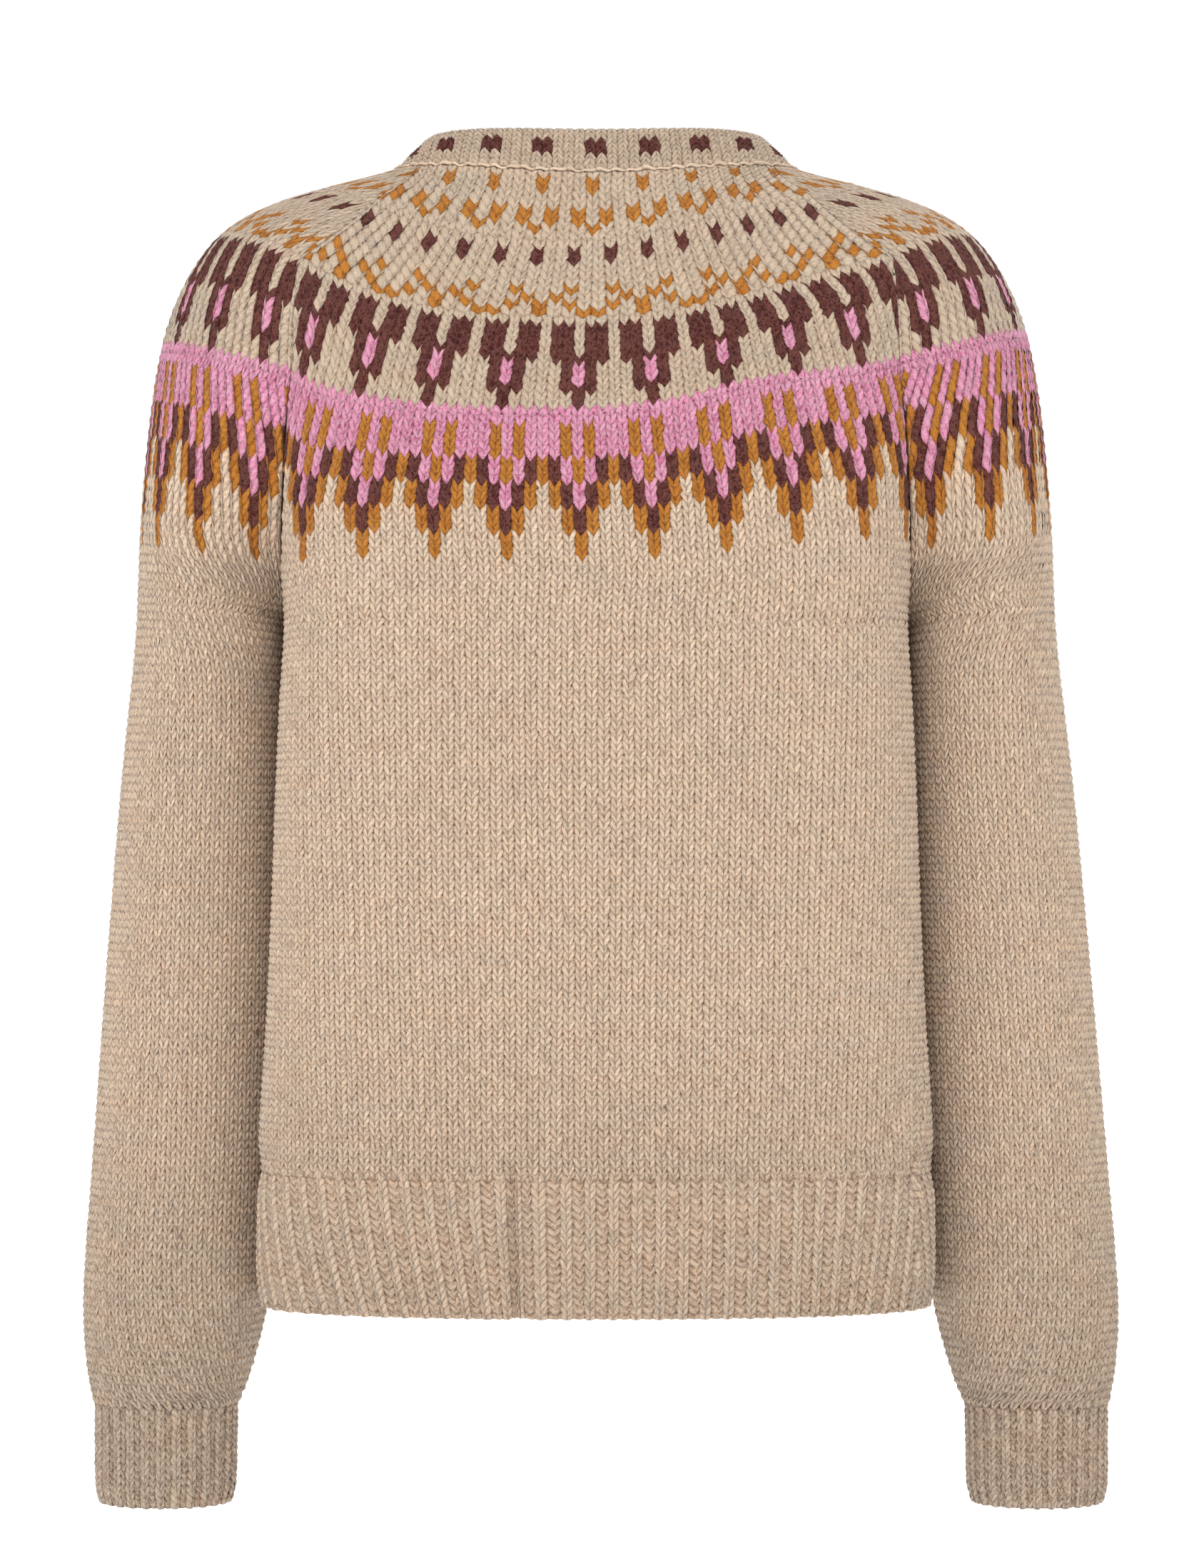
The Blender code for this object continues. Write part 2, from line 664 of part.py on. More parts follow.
def main():
    """Clears the scene and builds the cardigan."""
    for old in list(bpy.data.objects):
        bpy.data.objects.remove(old, do_unlink=True)
    collection = bpy.data.collections.new("cardigan")
    cutters = bpy.data.collections.new("cardigan_cutters")
    bpy.context.scene.collection.children.link(collection)
    bpy.context.scene.collection.children.link(cutters)
    cloth = {name: make_material(name, colour, 0.9) for name, colour in CLOTH_COLOURS.items()}
    wood = make_material("button_wood", BUTTON_COLOUR, 0.35)
    build_back(collection, cloth)
    for side in ("left", "right"):
        build_front(side, collection, cloth)
        build_sleeve(side, collection, cloth)
    build_neckband(collection, cloth)
    over_band = build_bands(collection, cloth)
    places = button_places()
    cut_buttonholes(over_band, places, cutters)
    build_buttons(places, collection, wood)


main()
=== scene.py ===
# %% [markdown]
# # A cardigan with a patterned yoke
#
# A hand-knitted cardigan, filled out as if it were worn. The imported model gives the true
# form of every piece as a plain wall. This notebook gives each wall its knitted face:
# real stitches modelled in relief, a charted yoke pattern, ribbed edges and wooden buttons.
# Everything is in metres, the wearer faces -Y and the origin is the middle of the neck.

# %% Load the fixed frame
import math
from functools import partial

import bpy
import numpy as np
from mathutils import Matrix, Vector


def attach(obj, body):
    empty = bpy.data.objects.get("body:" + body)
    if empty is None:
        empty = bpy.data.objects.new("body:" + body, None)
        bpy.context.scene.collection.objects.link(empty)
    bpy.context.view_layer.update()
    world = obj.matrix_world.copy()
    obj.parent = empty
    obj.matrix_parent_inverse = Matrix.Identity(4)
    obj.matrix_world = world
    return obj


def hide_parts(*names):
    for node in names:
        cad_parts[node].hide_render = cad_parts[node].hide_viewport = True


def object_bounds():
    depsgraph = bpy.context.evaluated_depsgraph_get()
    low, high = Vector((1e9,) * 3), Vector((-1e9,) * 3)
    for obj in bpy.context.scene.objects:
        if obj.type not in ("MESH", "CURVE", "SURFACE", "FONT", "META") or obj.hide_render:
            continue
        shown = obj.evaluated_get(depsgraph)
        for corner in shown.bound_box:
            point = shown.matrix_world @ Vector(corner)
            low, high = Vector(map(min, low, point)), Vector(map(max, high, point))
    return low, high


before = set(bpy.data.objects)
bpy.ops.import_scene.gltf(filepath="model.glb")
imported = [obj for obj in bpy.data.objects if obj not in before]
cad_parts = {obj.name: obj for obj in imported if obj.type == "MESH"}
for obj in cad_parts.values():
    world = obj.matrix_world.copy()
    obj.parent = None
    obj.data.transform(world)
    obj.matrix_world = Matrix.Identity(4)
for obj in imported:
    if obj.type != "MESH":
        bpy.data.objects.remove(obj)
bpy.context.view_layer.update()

# %% [markdown]
# ## The garment's form, row by row
#
# A knitter thinks in rows, so the form is told in rows too. A row number counts knitted
# rows: -98 is the hem's edge, -80 the top of its rib, -8 the armpit, 0 the first row of the
# yoke pattern, 49 the neck seam and 57 the neckband's edge. The tables say where each row
# lies, in millimetres, and a smooth curve fills in the rows between. They are the same
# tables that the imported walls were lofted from, so the knitting lies exactly on them.

# %% Reading a table at any row
MM = 0.001


class Sections:
    """A table of named columns, read at any row through smooth monotone curves."""

    def __init__(self, columns, *rows):
        self.columns = columns.split()
        self.values = np.array(rows, dtype=float)
        steps = np.diff(self.values[:, :1], axis=0)
        rises = np.diff(self.values, axis=0) / steps
        self.slopes = np.zeros_like(self.values)
        self.slopes[0] = rises[0]
        self.slopes[-1] = rises[-1]
        for i in range(1, len(rises)):
            same_way = rises[i - 1] * rises[i] > 0
            near = 2 * steps[i] + steps[i - 1]
            far = steps[i] + 2 * steps[i - 1]
            before = np.where(same_way, rises[i - 1], 1.0)
            after = np.where(same_way, rises[i], 1.0)
            self.slopes[i] = np.where(same_way, (near + far) / (near / before + far / after), 0.0)

    def at(self, row):
        """Every column's value at this row, by name."""
        rows = self.values[:, 0]
        row = min(max(row, rows[0]), rows[-1])
        i = int(np.clip(np.searchsorted(rows, row) - 1, 0, len(rows) - 2))
        step = rows[i + 1] - rows[i]
        t = (row - rows[i]) / step
        start = (1 + 2 * t) * (1 - t) ** 2 * self.values[i] + t * (1 - t) ** 2 * step * self.slopes[i]
        end = t * t * (3 - 2 * t) * self.values[i + 1] + t * t * (t - 1) * step * self.slopes[i + 1]
        return dict(zip(self.columns, start + end))


print("halfway up a slope:", Sections("row height", (0, 0), (10, 5)).at(5)["height"])

# %% Tables of the body's rows
HEM_ROW = -98
RIB_TOP_ROW = -80
ARMPIT_ROW = -8
NECK_ROW = 49
TOP_ROW = 57
CUFF_TOP = 96
CUFF_END = 110

CENTRE_LINE = Sections(
    "row back_y back_z front_y front_z",
    (-98, 106, -566, -104, -566),
    (-94, 107.5, -551, -105.5, -551),
    (-84, 106.5, -513, -104.5, -513),
    (-80, 104.5, -498, -102.5, -498),
    (-77, 108, -487, -106, -487),
    (-72, 110.5, -468, -108.5, -469),
    (-60, 109, -424, -109, -427),
    (-45, 107, -368, -110, -374),
    (-30, 109, -312, -114, -320),
    (-18, 114, -267, -119, -278),
    (-8, 118.5, -230, -122.5, -242),
    (0, 121, -200, -123.5, -212),
    (9, 122, -164, -122.5, -181),
    (18, 119.5, -128, -118.5, -150),
    (24, 114.5, -107, -113, -130),
    (29, 108.5, -88, -106.5, -113),
    (34, 100, -68, -98.5, -97),
    (39, 90, -48, -89.5, -81),
    (44, 80, -28, -81, -66),
    (49, 71, -8, -73.5, -53),
    (53, 66.5, 3, -69, -43),
    (57, 62.5, 13.5, -65.5, -33),
)
RING_PLAN = Sections(
    "row half_width widest_y squareness",
    (-98, 166.5, 32, 0.65),
    (-94, 168.5, 32, 0.65),
    (-84, 168, 32, 0.65),
    (-80, 165.5, 32, 0.65),
    (-77, 167.5, 33, 0.65),
    (-72, 166.5, 34, 0.65),
    (-60, 163.5, 35, 0.65),
    (-45, 161, 36, 0.65),
    (-30, 159, 36, 0.65),
    (-18, 157, 35.5, 0.65),
    (-8, 155, 33, 0.66),
    (0, 157.5, 31, 0.68),
    (9, 161.5, 27, 0.70),
    (18, 170, 12, 0.68),
    (24, 182, 2, 0.65),
    (29, 192, -5, 0.62),
    (33, 175, -4, 0.61),
    (41, 137, -1, 0.60),
    (49, 101, 1, 0.57),
    (53, 98.5, 1, 0.57),
    (57, 94, 1.5, 0.57),
)
SIDE_SEAM_LINE = Sections(
    "row left_y right_y",
    (-98, 22, 66),
    (-80, 20, 62),
    (-60, 12, 46),
    (-40, 4, 24),
    (-20, -3, 4),
    (-8, -5, -5),
)
RAGLAN_LINE = Sections(
    "row back_y back_z front_y front_z",
    (-8, -5, -230, -5, -230),
    (-6, 12, -222.5, -24, -224),
    (-4, 27, -214, -40, -217),
    (0, 48, -196, -60, -201),
    (4, 58, -176, -70, -183),
    (9, 67, -148, -78, -158),
    (18, 76, -98, -84, -113),
    (24, 77, -72, -84, -88),
    (29, 75, -54, -81, -70),
    (33, 70, -42, -76, -57),
    (37, 64, -31, -69.5, -46),
    (41, 56, -20, -62, -36),
    (45, 46.5, -10, -53, -30),
    (49, 36, -1, -43.5, -22),
    (53, 35, 8.5, -42, -12),
    (57, 33, 16.5, -40, -4),
)
print("chest at row 0:", {k: round(v, 1) for k, v in RING_PLAN.at(0).items()})

# %% Tables of the sleeves' rows
CAP_LINE = Sections(
    "row x y z crease seam_handle outer_handle",
    (-8, 232.5, -25, -221, 172, 1.06, 1.06),
    (-4, 231.8, -24.5, -204, 146, 0.68, 0.80),
    (0, 231, -24, -187, 116, 0.58, 0.70),
    (4, 229.5, -22, -166, 94, 0.50, 0.63),
    (9, 227, -19, -138, 70, 0.42, 0.56),
    (18, 219, -13, -86, 30, 0.38, 0.50),
    (24, 208, -8, -57, 9, 0.36, 0.46),
    (29, 192, -5, -34, 0, 0.36, 0.44),
    (33, 175, -4, -22.5, 0, 0.36, 0.44),
    (37, 156, -2.5, -15, 0, 0.36, 0.44),
    (41, 137.5, -1, -10, 0, 0.36, 0.43),
    (45, 119, 0, -5, 0, 0.36, 0.42),
    (49, 101, 1, -0.5, 0, 0.36, 0.41),
    (53, 98.5, 1, 7, 0, 0.36, 0.41),
    (57, 94, 1.5, 13, 0, 0.36, 0.41),
)
TUBE_LINE = Sections(
    "row inner_x inner_y inner_z outer_x outer_y outer_z half_depth right_swing",
    (0, 152.3, -5, -230, 232.5, -25, -221, 66, 0),
    (3, 154, -12, -241, 233.4, -25.5, -234, 65.5, 0.1),
    (7, 155, -20, -256, 235.2, -26.5, -252, 64.5, 0.3),
    (18, 155, -28, -301, 240.6, -30, -300, 62, 1),
    (34, 155.6, -31, -365, 246.4, -32, -365, 59, 2),
    (52, 158, -31, -437, 252, -32, -437, 56, 3),
    (68, 161, -30, -501, 256.8, -31, -501, 53, 4),
    (79, 164, -29, -545, 260.2, -30, -545, 51, 4.6),
    (85, 168, -28, -569, 261.2, -29, -569, 48.5, 5),
    (90, 173, -27, -589, 260, -28, -589, 45, 5.2),
    (94, 178.5, -26, -605, 257.5, -27, -605, 40.5, 5.4),
    (96, 182.5, -25.5, -613, 254.8, -26.5, -613, 36, 5.5),
    (100, 183.2, -25, -629, 254.4, -26, -629, 33.5, 5.5),
    (107, 183.8, -25, -656, 254.2, -25.5, -656, 33, 5.5),
    (110, 186, -25, -667, 252.2, -25.5, -667, 31.5, 5.5),
)
print("cuff's half depth: %.1f mm" % TUBE_LINE.at(CUFF_END)["half_depth"])

# %% Curves through a row
CURVE_STEPS = 60


def bezier(points):
    """Points along a cubic curve with four control points."""
    t = np.linspace(0.0, 1.0, CURVE_STEPS + 1)[:, None]
    start, leave, arrive, end = (np.array(p, dtype=float) for p in points)
    first_half = (1 - t) ** 3 * start + 3 * t * (1 - t) ** 2 * leave
    return first_half + 3 * t * t * (1 - t) * arrive + t**3 * end


def lengths_along(line):
    """The distance from the line's start to each of its points."""
    steps = np.linalg.norm(np.diff(line, axis=0), axis=1)
    return np.concatenate(([0.0], np.cumsum(steps)))


def points_at(line, distances):
    """Points on the line at these distances from its start."""
    along = lengths_along(line)
    return np.stack([np.interp(distances, along, values) for values in line.T], axis=1)


def smooth(share):
    """A rise from 0 to 1 that starts and ends level."""
    return share * share * (3 - 2 * share)


def eased(share, start_slope, end_slope):
    """A rise from 0 to 1 with these slopes at its two ends."""
    rise = smooth(share) + start_slope * share * (1 - share) ** 2
    return rise + end_slope * share * share * (share - 1)


print("half a cubic's rise:", eased(0.5, 0.0, 0.0))


# %% A row of the back or of a front
def chest_ring(row):
    """Half of a row's ring in plan, from the middle of the back round +X to the front."""
    ring = RING_PLAN.at(row)
    centre = CENTRE_LINE.at(row)
    width = ring["half_width"]
    side_y = ring["widest_y"]
    pull = ring["squareness"]
    back_y = centre["back_y"]
    front_y = centre["front_y"]
    back_bend = (width, side_y + (back_y - side_y) * pull)
    front_bend = (width, side_y + (front_y - side_y) * pull)
    back = bezier(((0.0, back_y), (width * pull, back_y), back_bend, (width, side_y)))
    front = bezier(((width, side_y), front_bend, (width * pull, front_y), (0.0, front_y)))
    return np.vstack((back, front[1:]))


def seam_place(row, side, face):
    """The seam's y, and its z, on one side of the back or front at this row."""
    if row <= ARMPIT_ROW:
        return SIDE_SEAM_LINE.at(row)[side + "_y"], CENTRE_LINE.at(row)["back_z"]
    seam = RAGLAN_LINE.at(row)
    return seam[face + "_y"], seam[face + "_z"]


def cut_at_y(ring, seam_y):
    """The ring from its start to where it passes seam_y, going towards the front."""
    past = int(np.argmax(ring[:, 1] < seam_y))
    share = (ring[past - 1, 1] - seam_y) / (ring[past - 1, 1] - ring[past, 1])
    crossing = ring[past - 1] + share * (ring[past] - ring[past - 1])
    return np.vstack((ring[:past], crossing))


def body_plan(row, side, face):
    """A row of the back or a front in plan, from the middle to the +X seam."""
    seam_y = seam_place(row, side, face)[0]
    ring = chest_ring(row)
    if face == "back":
        return cut_at_y(ring, seam_y)
    return cut_at_y(ring[::-1] * (1.0, -1.0), -seam_y) * (1.0, -1.0)


def cap_plan(row, face):
    """A row of a sleeve's cap in plan, from the raglan seam to the shoulder's outline."""
    body = body_plan(row, "left", face)
    cap = CAP_LINE.at(row)
    flip = 1.0 if face == "back" else -1.0
    seam = body[-1] * (1.0, flip)
    outer = np.array((cap["x"], cap["y"] * flip))
    heading = (body[-1] - body[-2]) * (1.0, flip)
    angle = math.atan2(heading[1], heading[0]) + math.radians(cap["crease"])
    chord = np.linalg.norm(outer - seam)
    leave = seam + chord * cap["seam_handle"] * np.array((math.cos(angle), math.sin(angle)))
    arrive = outer + (0.0, chord * cap["outer_handle"])
    return bezier((seam, leave, arrive, outer)) * (1.0, flip)


# A row climbs towards the raglan seam. Where the cap folds at the seam by more than
# SHARP_CREASE degrees, both sides meet it at slopes of their own; elsewhere they run on
# smoothly, and no steeper than STEEPEST times an even rise.
SHARP_CREASE = 30.0
STEEPEST = 2.8
FOLDED_CAP_SLOPE = 1.5
LEAST_RISE = 0.1


def row_climb(row, side, face):
    """How a row climbs: body length and rise, cap length and rise, and the slope at the seam."""
    seam_z = seam_place(row, side, face)[1]
    body_rise = seam_z - CENTRE_LINE.at(row)[face + "_z"]
    body_length = lengths_along(body_plan(row, side, face))[-1]
    if row < ARMPIT_ROW:
        return {"body_rise": body_rise, "body_slope": 0.0}
    cap = CAP_LINE.at(row)
    cap_rise = cap["z"] - seam_z
    cap_length = lengths_along(cap_plan(row, face))[-1]
    gentler = min(max(body_rise, 0.0) / body_length, max(cap_rise, 0.0) / cap_length)
    steepness = STEEPEST * gentler
    creased = min(cap["crease"] / SHARP_CREASE, 1.0)
    body_slope = steepness * body_length / max(body_rise, LEAST_RISE)
    cap_slope = steepness * cap_length / max(cap_rise, LEAST_RISE)
    return {
        "body_rise": body_rise,
        "body_slope": body_slope + (STEEPEST - body_slope) * creased,
        "cap_rise": cap_rise,
        "cap_slope": cap_slope + (FOLDED_CAP_SLOPE - cap_slope) * creased,
    }


def half_row(row, side, face):
    """One row of the back or a front on the +X side, from the middle to the seam."""
    plan = body_plan(row, side, face)
    along = lengths_along(plan)
    climb = row_climb(row, side, face)
    rise = climb["body_rise"] * eased(along / along[-1], 0.0, climb["body_slope"])
    return np.column_stack((plan, CENTRE_LINE.at(row)[face + "_z"] + rise))


print("back's half row at the hem: %.0f mm" % lengths_along(half_row(HEM_ROW, "left", "back"))[-1])


# %% A row of a sleeve
def cap_half(row, face):
    """One row of a sleeve's cap, from the raglan seam to the shoulder's outline."""
    plan = cap_plan(row, face)
    along = lengths_along(plan)
    climb = row_climb(row, "left", face)
    rise = climb["cap_rise"] * eased(along / along[-1], climb["cap_slope"], 0.0)
    return np.column_stack((plan, seam_place(row, "left", face)[1] + rise))


def cap_row(row):
    """A whole row of the left sleeve's cap, from the back seam over the shoulder to the front."""
    return np.vstack((cap_half(row, "back"), cap_half(row, "front")[-2::-1]))


def tube_row(down, side):
    """A whole row of a sleeve or cuff, drawn on the left, from its underarm seam round the back.
    down counts rows from the armpit."""
    tube = TUBE_LINE.at(down)
    swing = tube["right_swing"] if side == "right" else 0.0
    inner = np.array((tube["inner_x"] + swing, tube["inner_y"]))
    outer = np.array((tube["outer_x"] + swing, tube["outer_y"]))
    # A cubic reaches three quarters of the way to its middle control points.
    reach = np.array((0.0, tube["half_depth"] * 4 / 3))
    back = bezier((inner, inner + reach, outer + reach, outer))
    front = bezier((outer, outer - reach, inner - reach, inner))
    plan = np.vstack((back, front[1:]))
    turn = np.linspace(0.0, 2 * math.pi, len(plan))
    heights = tube["inner_z"] + (tube["outer_z"] - tube["inner_z"]) * (1 - np.cos(turn)) / 2
    return np.column_stack((plan, heights))


def mirrored(line):
    """The same line on the wearer's right."""
    return line * (-1.0, 1.0, 1.0)


print("sleeve's round at the armpit: %.0f mm" % lengths_along(tube_row(0, "left"))[-1])

# %% [markdown]
# ## Panels: a smooth form under the stitches
#
# Each knitted piece needs a smooth form to stand its stitches on. A `Panel` samples the rows
# closely and then answers two questions: where is the place this far round on this row, and
# which way does the cloth face there? Distances round the garment run anticlockwise seen from
# above, so rows going up give faces that point outwards. Zero is the middle of the piece.
# Reading a fine grid is much faster than working every stitch out from the curves.

# %% The smooth form of one piece
ROW_STEP = 0.5
ROW_HEIGHT = 4.1
PLACES_ACROSS = 240
SHARE_ACROSS = np.linspace(0, 1, PLACES_ACROSS + 1)
FACING_SMOOTHING = 4
SLIP_SMOOTHING = 100
# Near the armpits a slip keeps a place's distance, except in this share beside the seams.
KEEPING_ROWS = 16
KEEPING_EDGE = 0.12
# A crease is fullest at its middle: how fast it fades to its ends and beyond, and to what share.
CREASE_FADING = 0.9
LEAST_CREASE = 0.3


def softened(grid, times):
    """The grid of points with its ripples relaxed, its four edges kept."""
    for _ in range(times):
        middle = grid[1:-1, 1:-1]
        beside = (grid[1:-1, :-2] + grid[1:-1, 2:] + grid[:-2, 1:-1] + grid[2:, 1:-1]) / 4
        grid[1:-1, 1:-1] = (middle + beside) / 2
    return grid


def unit(vectors):
    """The vectors, each with length one."""
    return vectors / np.maximum(np.linalg.norm(vectors, axis=-1, keepdims=True), 1e-12)


def along_rows(*pairs):
    """A value at any row, from (row, value) pairs."""
    rows, values = zip(*pairs)
    return lambda row: np.interp(row, rows, values)


NOTHING = along_rows((0, 0.0))


class Panel:
    """A piece's smooth form, read at any row and at any distance round from its middle."""

    def __init__(self, line, first, last, trim=(NOTHING, NOTHING), soften=0, creases=(), slips=None):
        self.first = first
        self.last = last
        self.rows = np.linspace(first, last, int(round((last - first) / ROW_STEP)) + 1)
        grid = np.zeros((len(self.rows), PLACES_ACROSS + 1, 3))
        self.start = np.zeros(len(self.rows))
        self.end = np.zeros(len(self.rows))
        for i, row in enumerate(self.rows):
            points, middle = line(row)
            total = lengths_along(points)[-1]
            near, far = trim[0](row), total - trim[1](row)
            grid[i] = points_at(points, np.linspace(near, far, PLACES_ACROSS + 1))
            self.start[i] = near - middle
            self.end[i] = far - middle
        self.grid = softened(grid, soften) * MM
        self.start *= MM
        self.end *= MM
        if slips:
            self.slip(*slips)
        self.find_facing()
        for crease in creases:
            self.fold(*crease)
        if creases:
            self.find_facing()

    def slip(self, places, table):
        """Moves rows up the cloth. Each line of the table is a row and how many rows it has
        slipped at these places, which run from 0 at the panel's start to 1 at its end."""
        share = SHARE_ACROSS
        across = np.array([np.interp(share, places, line[1:]) for line in table])
        known = [line[0] for line in table]
        slips = np.stack([np.interp(self.rows, known, column) for column in across.T], axis=1)
        moved = self.rows[:, None] + softened(slips[..., None], SLIP_SMOOTHING)[..., 0]
        # Rows narrow fast above the armpits, so near there a place keeps its distance instead
        # of its share of the row.
        keeps = smooth(np.clip(1 - (self.rows - ARMPIT_ROW) / KEEPING_ROWS, 0, 1))
        low, high = self.limits(moved)
        scaled = low * (1 - share) + high * share
        start = self.start + (low[:, 0] - self.start) * keeps
        end = self.end + (high[:, -1] - self.end) * keeps
        same = start[:, None] * (1 - share) + end[:, None] * share
        inside = np.clip(np.minimum(share, 1 - share) / KEEPING_EDGE, 0, 1)
        distance = scaled + (same - scaled) * keeps[:, None] * inside
        self.grid = self.read((self.grid,), moved, distance)[0]
        self.start, self.end = start, end

    def find_facing(self):
        """The climb from row to row and the direction out of the cloth at every grid point."""
        self.climb = np.gradient(self.grid, axis=0) / ROW_STEP
        facing = np.cross(unit(np.gradient(self.grid, axis=1)), unit(self.climb))
        self.facing = unit(softened(unit(facing), FACING_SMOOTHING))

    def fold(self, start, end, half_width, rise):
        """Raises (or with a negative rise sinks) a soft crease between two (row, distance) places."""
        reach = (self.end - self.start)[:, None]
        across = (self.start[:, None] + reach * SHARE_ACROSS) / MM
        upward = np.broadcast_to(self.rows[:, None] * ROW_HEIGHT, across.shape)
        foot = np.array((start[1], start[0] * ROW_HEIGHT))
        run = np.array((end[1], end[0] * ROW_HEIGHT)) - foot
        here = np.stack((across, upward), -1) - foot
        along = (here @ run) / (run @ run)
        away = np.linalg.norm(here - np.clip(along, 0, 1)[..., None] * run, axis=-1)
        fading = np.clip(1 - np.abs(along - 0.5) * CREASE_FADING, LEAST_CREASE, 1)
        height = rise * MM * np.exp(-((away / half_width) ** 2)) * fading
        self.grid += self.facing * height[..., None]

    def flat_cut(self, first, last):
        """The widest row, the length through the middle and the area from first to last, in metres."""
        low = int(round((first - self.first) / ROW_STEP))
        high = int(round((last - self.first) / ROW_STEP))
        widths = (self.end - self.start)[low:high + 1]
        middle = self.grid[low:high + 1, PLACES_ACROSS // 2]
        steps = np.linalg.norm(np.diff(middle, axis=0), axis=1)
        area = float(((widths[1:] + widths[:-1]) / 2 * steps).sum())
        return float(widths.max()), float(steps.sum()), area

    def limits(self, rows):
        """How far each row reaches to either side of the middle."""
        return np.interp(rows, self.rows, self.start), np.interp(rows, self.rows, self.end)

    def read(self, layers, rows, distances):
        """Values of these grid layers at rows and distances, blended between grid points."""
        down = np.clip((rows - self.first) / ROW_STEP, 0, len(self.rows) - 1.001)
        low, high = self.limits(rows)
        along = np.clip((distances - low) / (high - low), 0, 1) * (PLACES_ACROSS - 0.001)
        i = down.astype(int)
        j = along.astype(int)
        a = (down - i)[..., None]
        b = (along - j)[..., None]
        mixed = []
        for layer in layers:
            lower = layer[i, j] * (1 - b) + layer[i, j + 1] * b
            upper = layer[i + 1, j] * (1 - b) + layer[i + 1, j + 1] * b
            mixed.append(lower * (1 - a) + upper * a)
        return mixed

    def place(self, rows, distances, height=0.0):
        """Points on the panel, lifted off it by this height. Rows beyond its ends go straight on."""
        points, facing, climb = self.read((self.grid, self.facing, self.climb), rows, distances)
        beyond = rows - np.clip(rows, self.first, self.last)
        return points + unit(facing) * np.asarray(height)[..., None] + climb * beyond[..., None]

    def outward(self, rows, distances):
        """The direction straight out of the cloth at these places."""
        return unit(self.read((self.facing,), rows, distances)[0])


print("a panel's grid: %d places on every half row" % (PLACES_ACROSS + 1))

# %% Lines for the panels
BAND_HALF_WIDTH = 16.0
OVERLAP_REACH = 19.0
SEAM_GAP = 0.3
WALL = 3.0
OVERLAP_LIFT = WALL + 0.5
BAND_STRIPS = 8
ARMPIT_BLEND = 3.0
SEAM_TRIM = along_rows((9, 0.8), (17, 0.2))
# The arms hang a little longer than their walls: how far each row lies below them.
ARM_DROP = along_rows((-118, 6.6), (-104, 10.0), (-60, 0.0))
# Over the shoulders the neckband leans in towards the neck and sinks: both in full at its edge.
NECK_HALF_WIDTH = 96.0
NECK_LEAN = 0.075
NECK_SINK = 2.8


def back_line(row):
    """A row of the back, from the left seam to the right seam, and the distance to its middle."""
    left = half_row(row, "left", "back")
    right = mirrored(half_row(row, "right", "back"))
    return np.vstack((left[::-1], right[1:])), lengths_along(left)[-1]


def front_line(side):
    """Rows of one front, measured from the garment's middle."""
    def line(row):
        half = half_row(row, side, "front")
        if side == "left":
            return half, 0.0
        return mirrored(half)[::-1], lengths_along(half)[-1]
    return line


def sleeve_line(side):
    """Rows of a whole sleeve and its cuff: a tube below the armpit row and a cap above."""
    def line(row):
        down = ARMPIT_ROW - row
        if down <= 0:
            ring = cap_row(row)
        else:
            ring = tube_row(down, side)
        if 0 < down < ARMPIT_BLEND:
            share = smooth(down / ARMPIT_BLEND)
            ring = ring * share + cap_row(ARMPIT_ROW) * (1 - share)
        ring = ring - (0.0, 0.0, ARM_DROP(row))
        ring = ring[::-1] if side == "left" else mirrored(ring)
        return ring, lengths_along(ring[: len(ring) // 2 + 1])[-1]
    return line


def neckband_line(row):
    """A neckband row, from the left front's edge round the back to the right front's."""
    stretches = (
        half_row(row, "left", "back"),
        cap_half(row, "back"),
        cap_half(row, "front")[::-1],
        half_row(row, "left", "front")[::-1],
    )
    left = np.vstack([stretches[0]] + [stretch[1:] for stretch in stretches[1:]])
    lean = (np.abs(left[:, 0]) / NECK_HALF_WIDTH) ** 4 * (row - NECK_ROW) / (TOP_ROW - NECK_ROW)
    left = left - np.stack((left[:, 0] * lean * NECK_LEAN, lean * 0.0, lean * NECK_SINK), axis=1)
    return np.vstack((left[::-1], mirrored(left)[1:])), lengths_along(left)[-1]


def band_frame(row):
    """The front's middle at this row and the direction straight out of the cloth there."""
    here = CENTRE_LINE.at(row)
    above = CENTRE_LINE.at(min(row + 1, TOP_ROW))
    below = CENTRE_LINE.at(max(row - 1, HEM_ROW))
    climb = Vector((0.0, above["front_y"] - below["front_y"], above["front_z"] - below["front_z"]))
    outward = climb.cross(Vector((1.0, 0.0, 0.0))).normalized()
    return Vector((0.0, here["front_y"], here["front_z"])), -outward


def band_line(start_x, end_x, lift):
    """Rows across a button band, lying on the front's curve and lifted off it."""
    def line(row):
        middle, outward = band_frame(row)
        ring = chest_ring(row)[::-1]
        points = []
        for x in np.linspace(start_x, end_x, BAND_STRIPS + 1):
            curve_y = np.interp(abs(x), ring[:CURVE_STEPS, 0], ring[:CURVE_STEPS, 1])
            points.append(Vector((x, curve_y, middle.z)) + outward * lift)
        return np.array(points), -start_x
    return line


print("back's middle at the chest: %.0f mm from its seam" % back_line(0)[1])

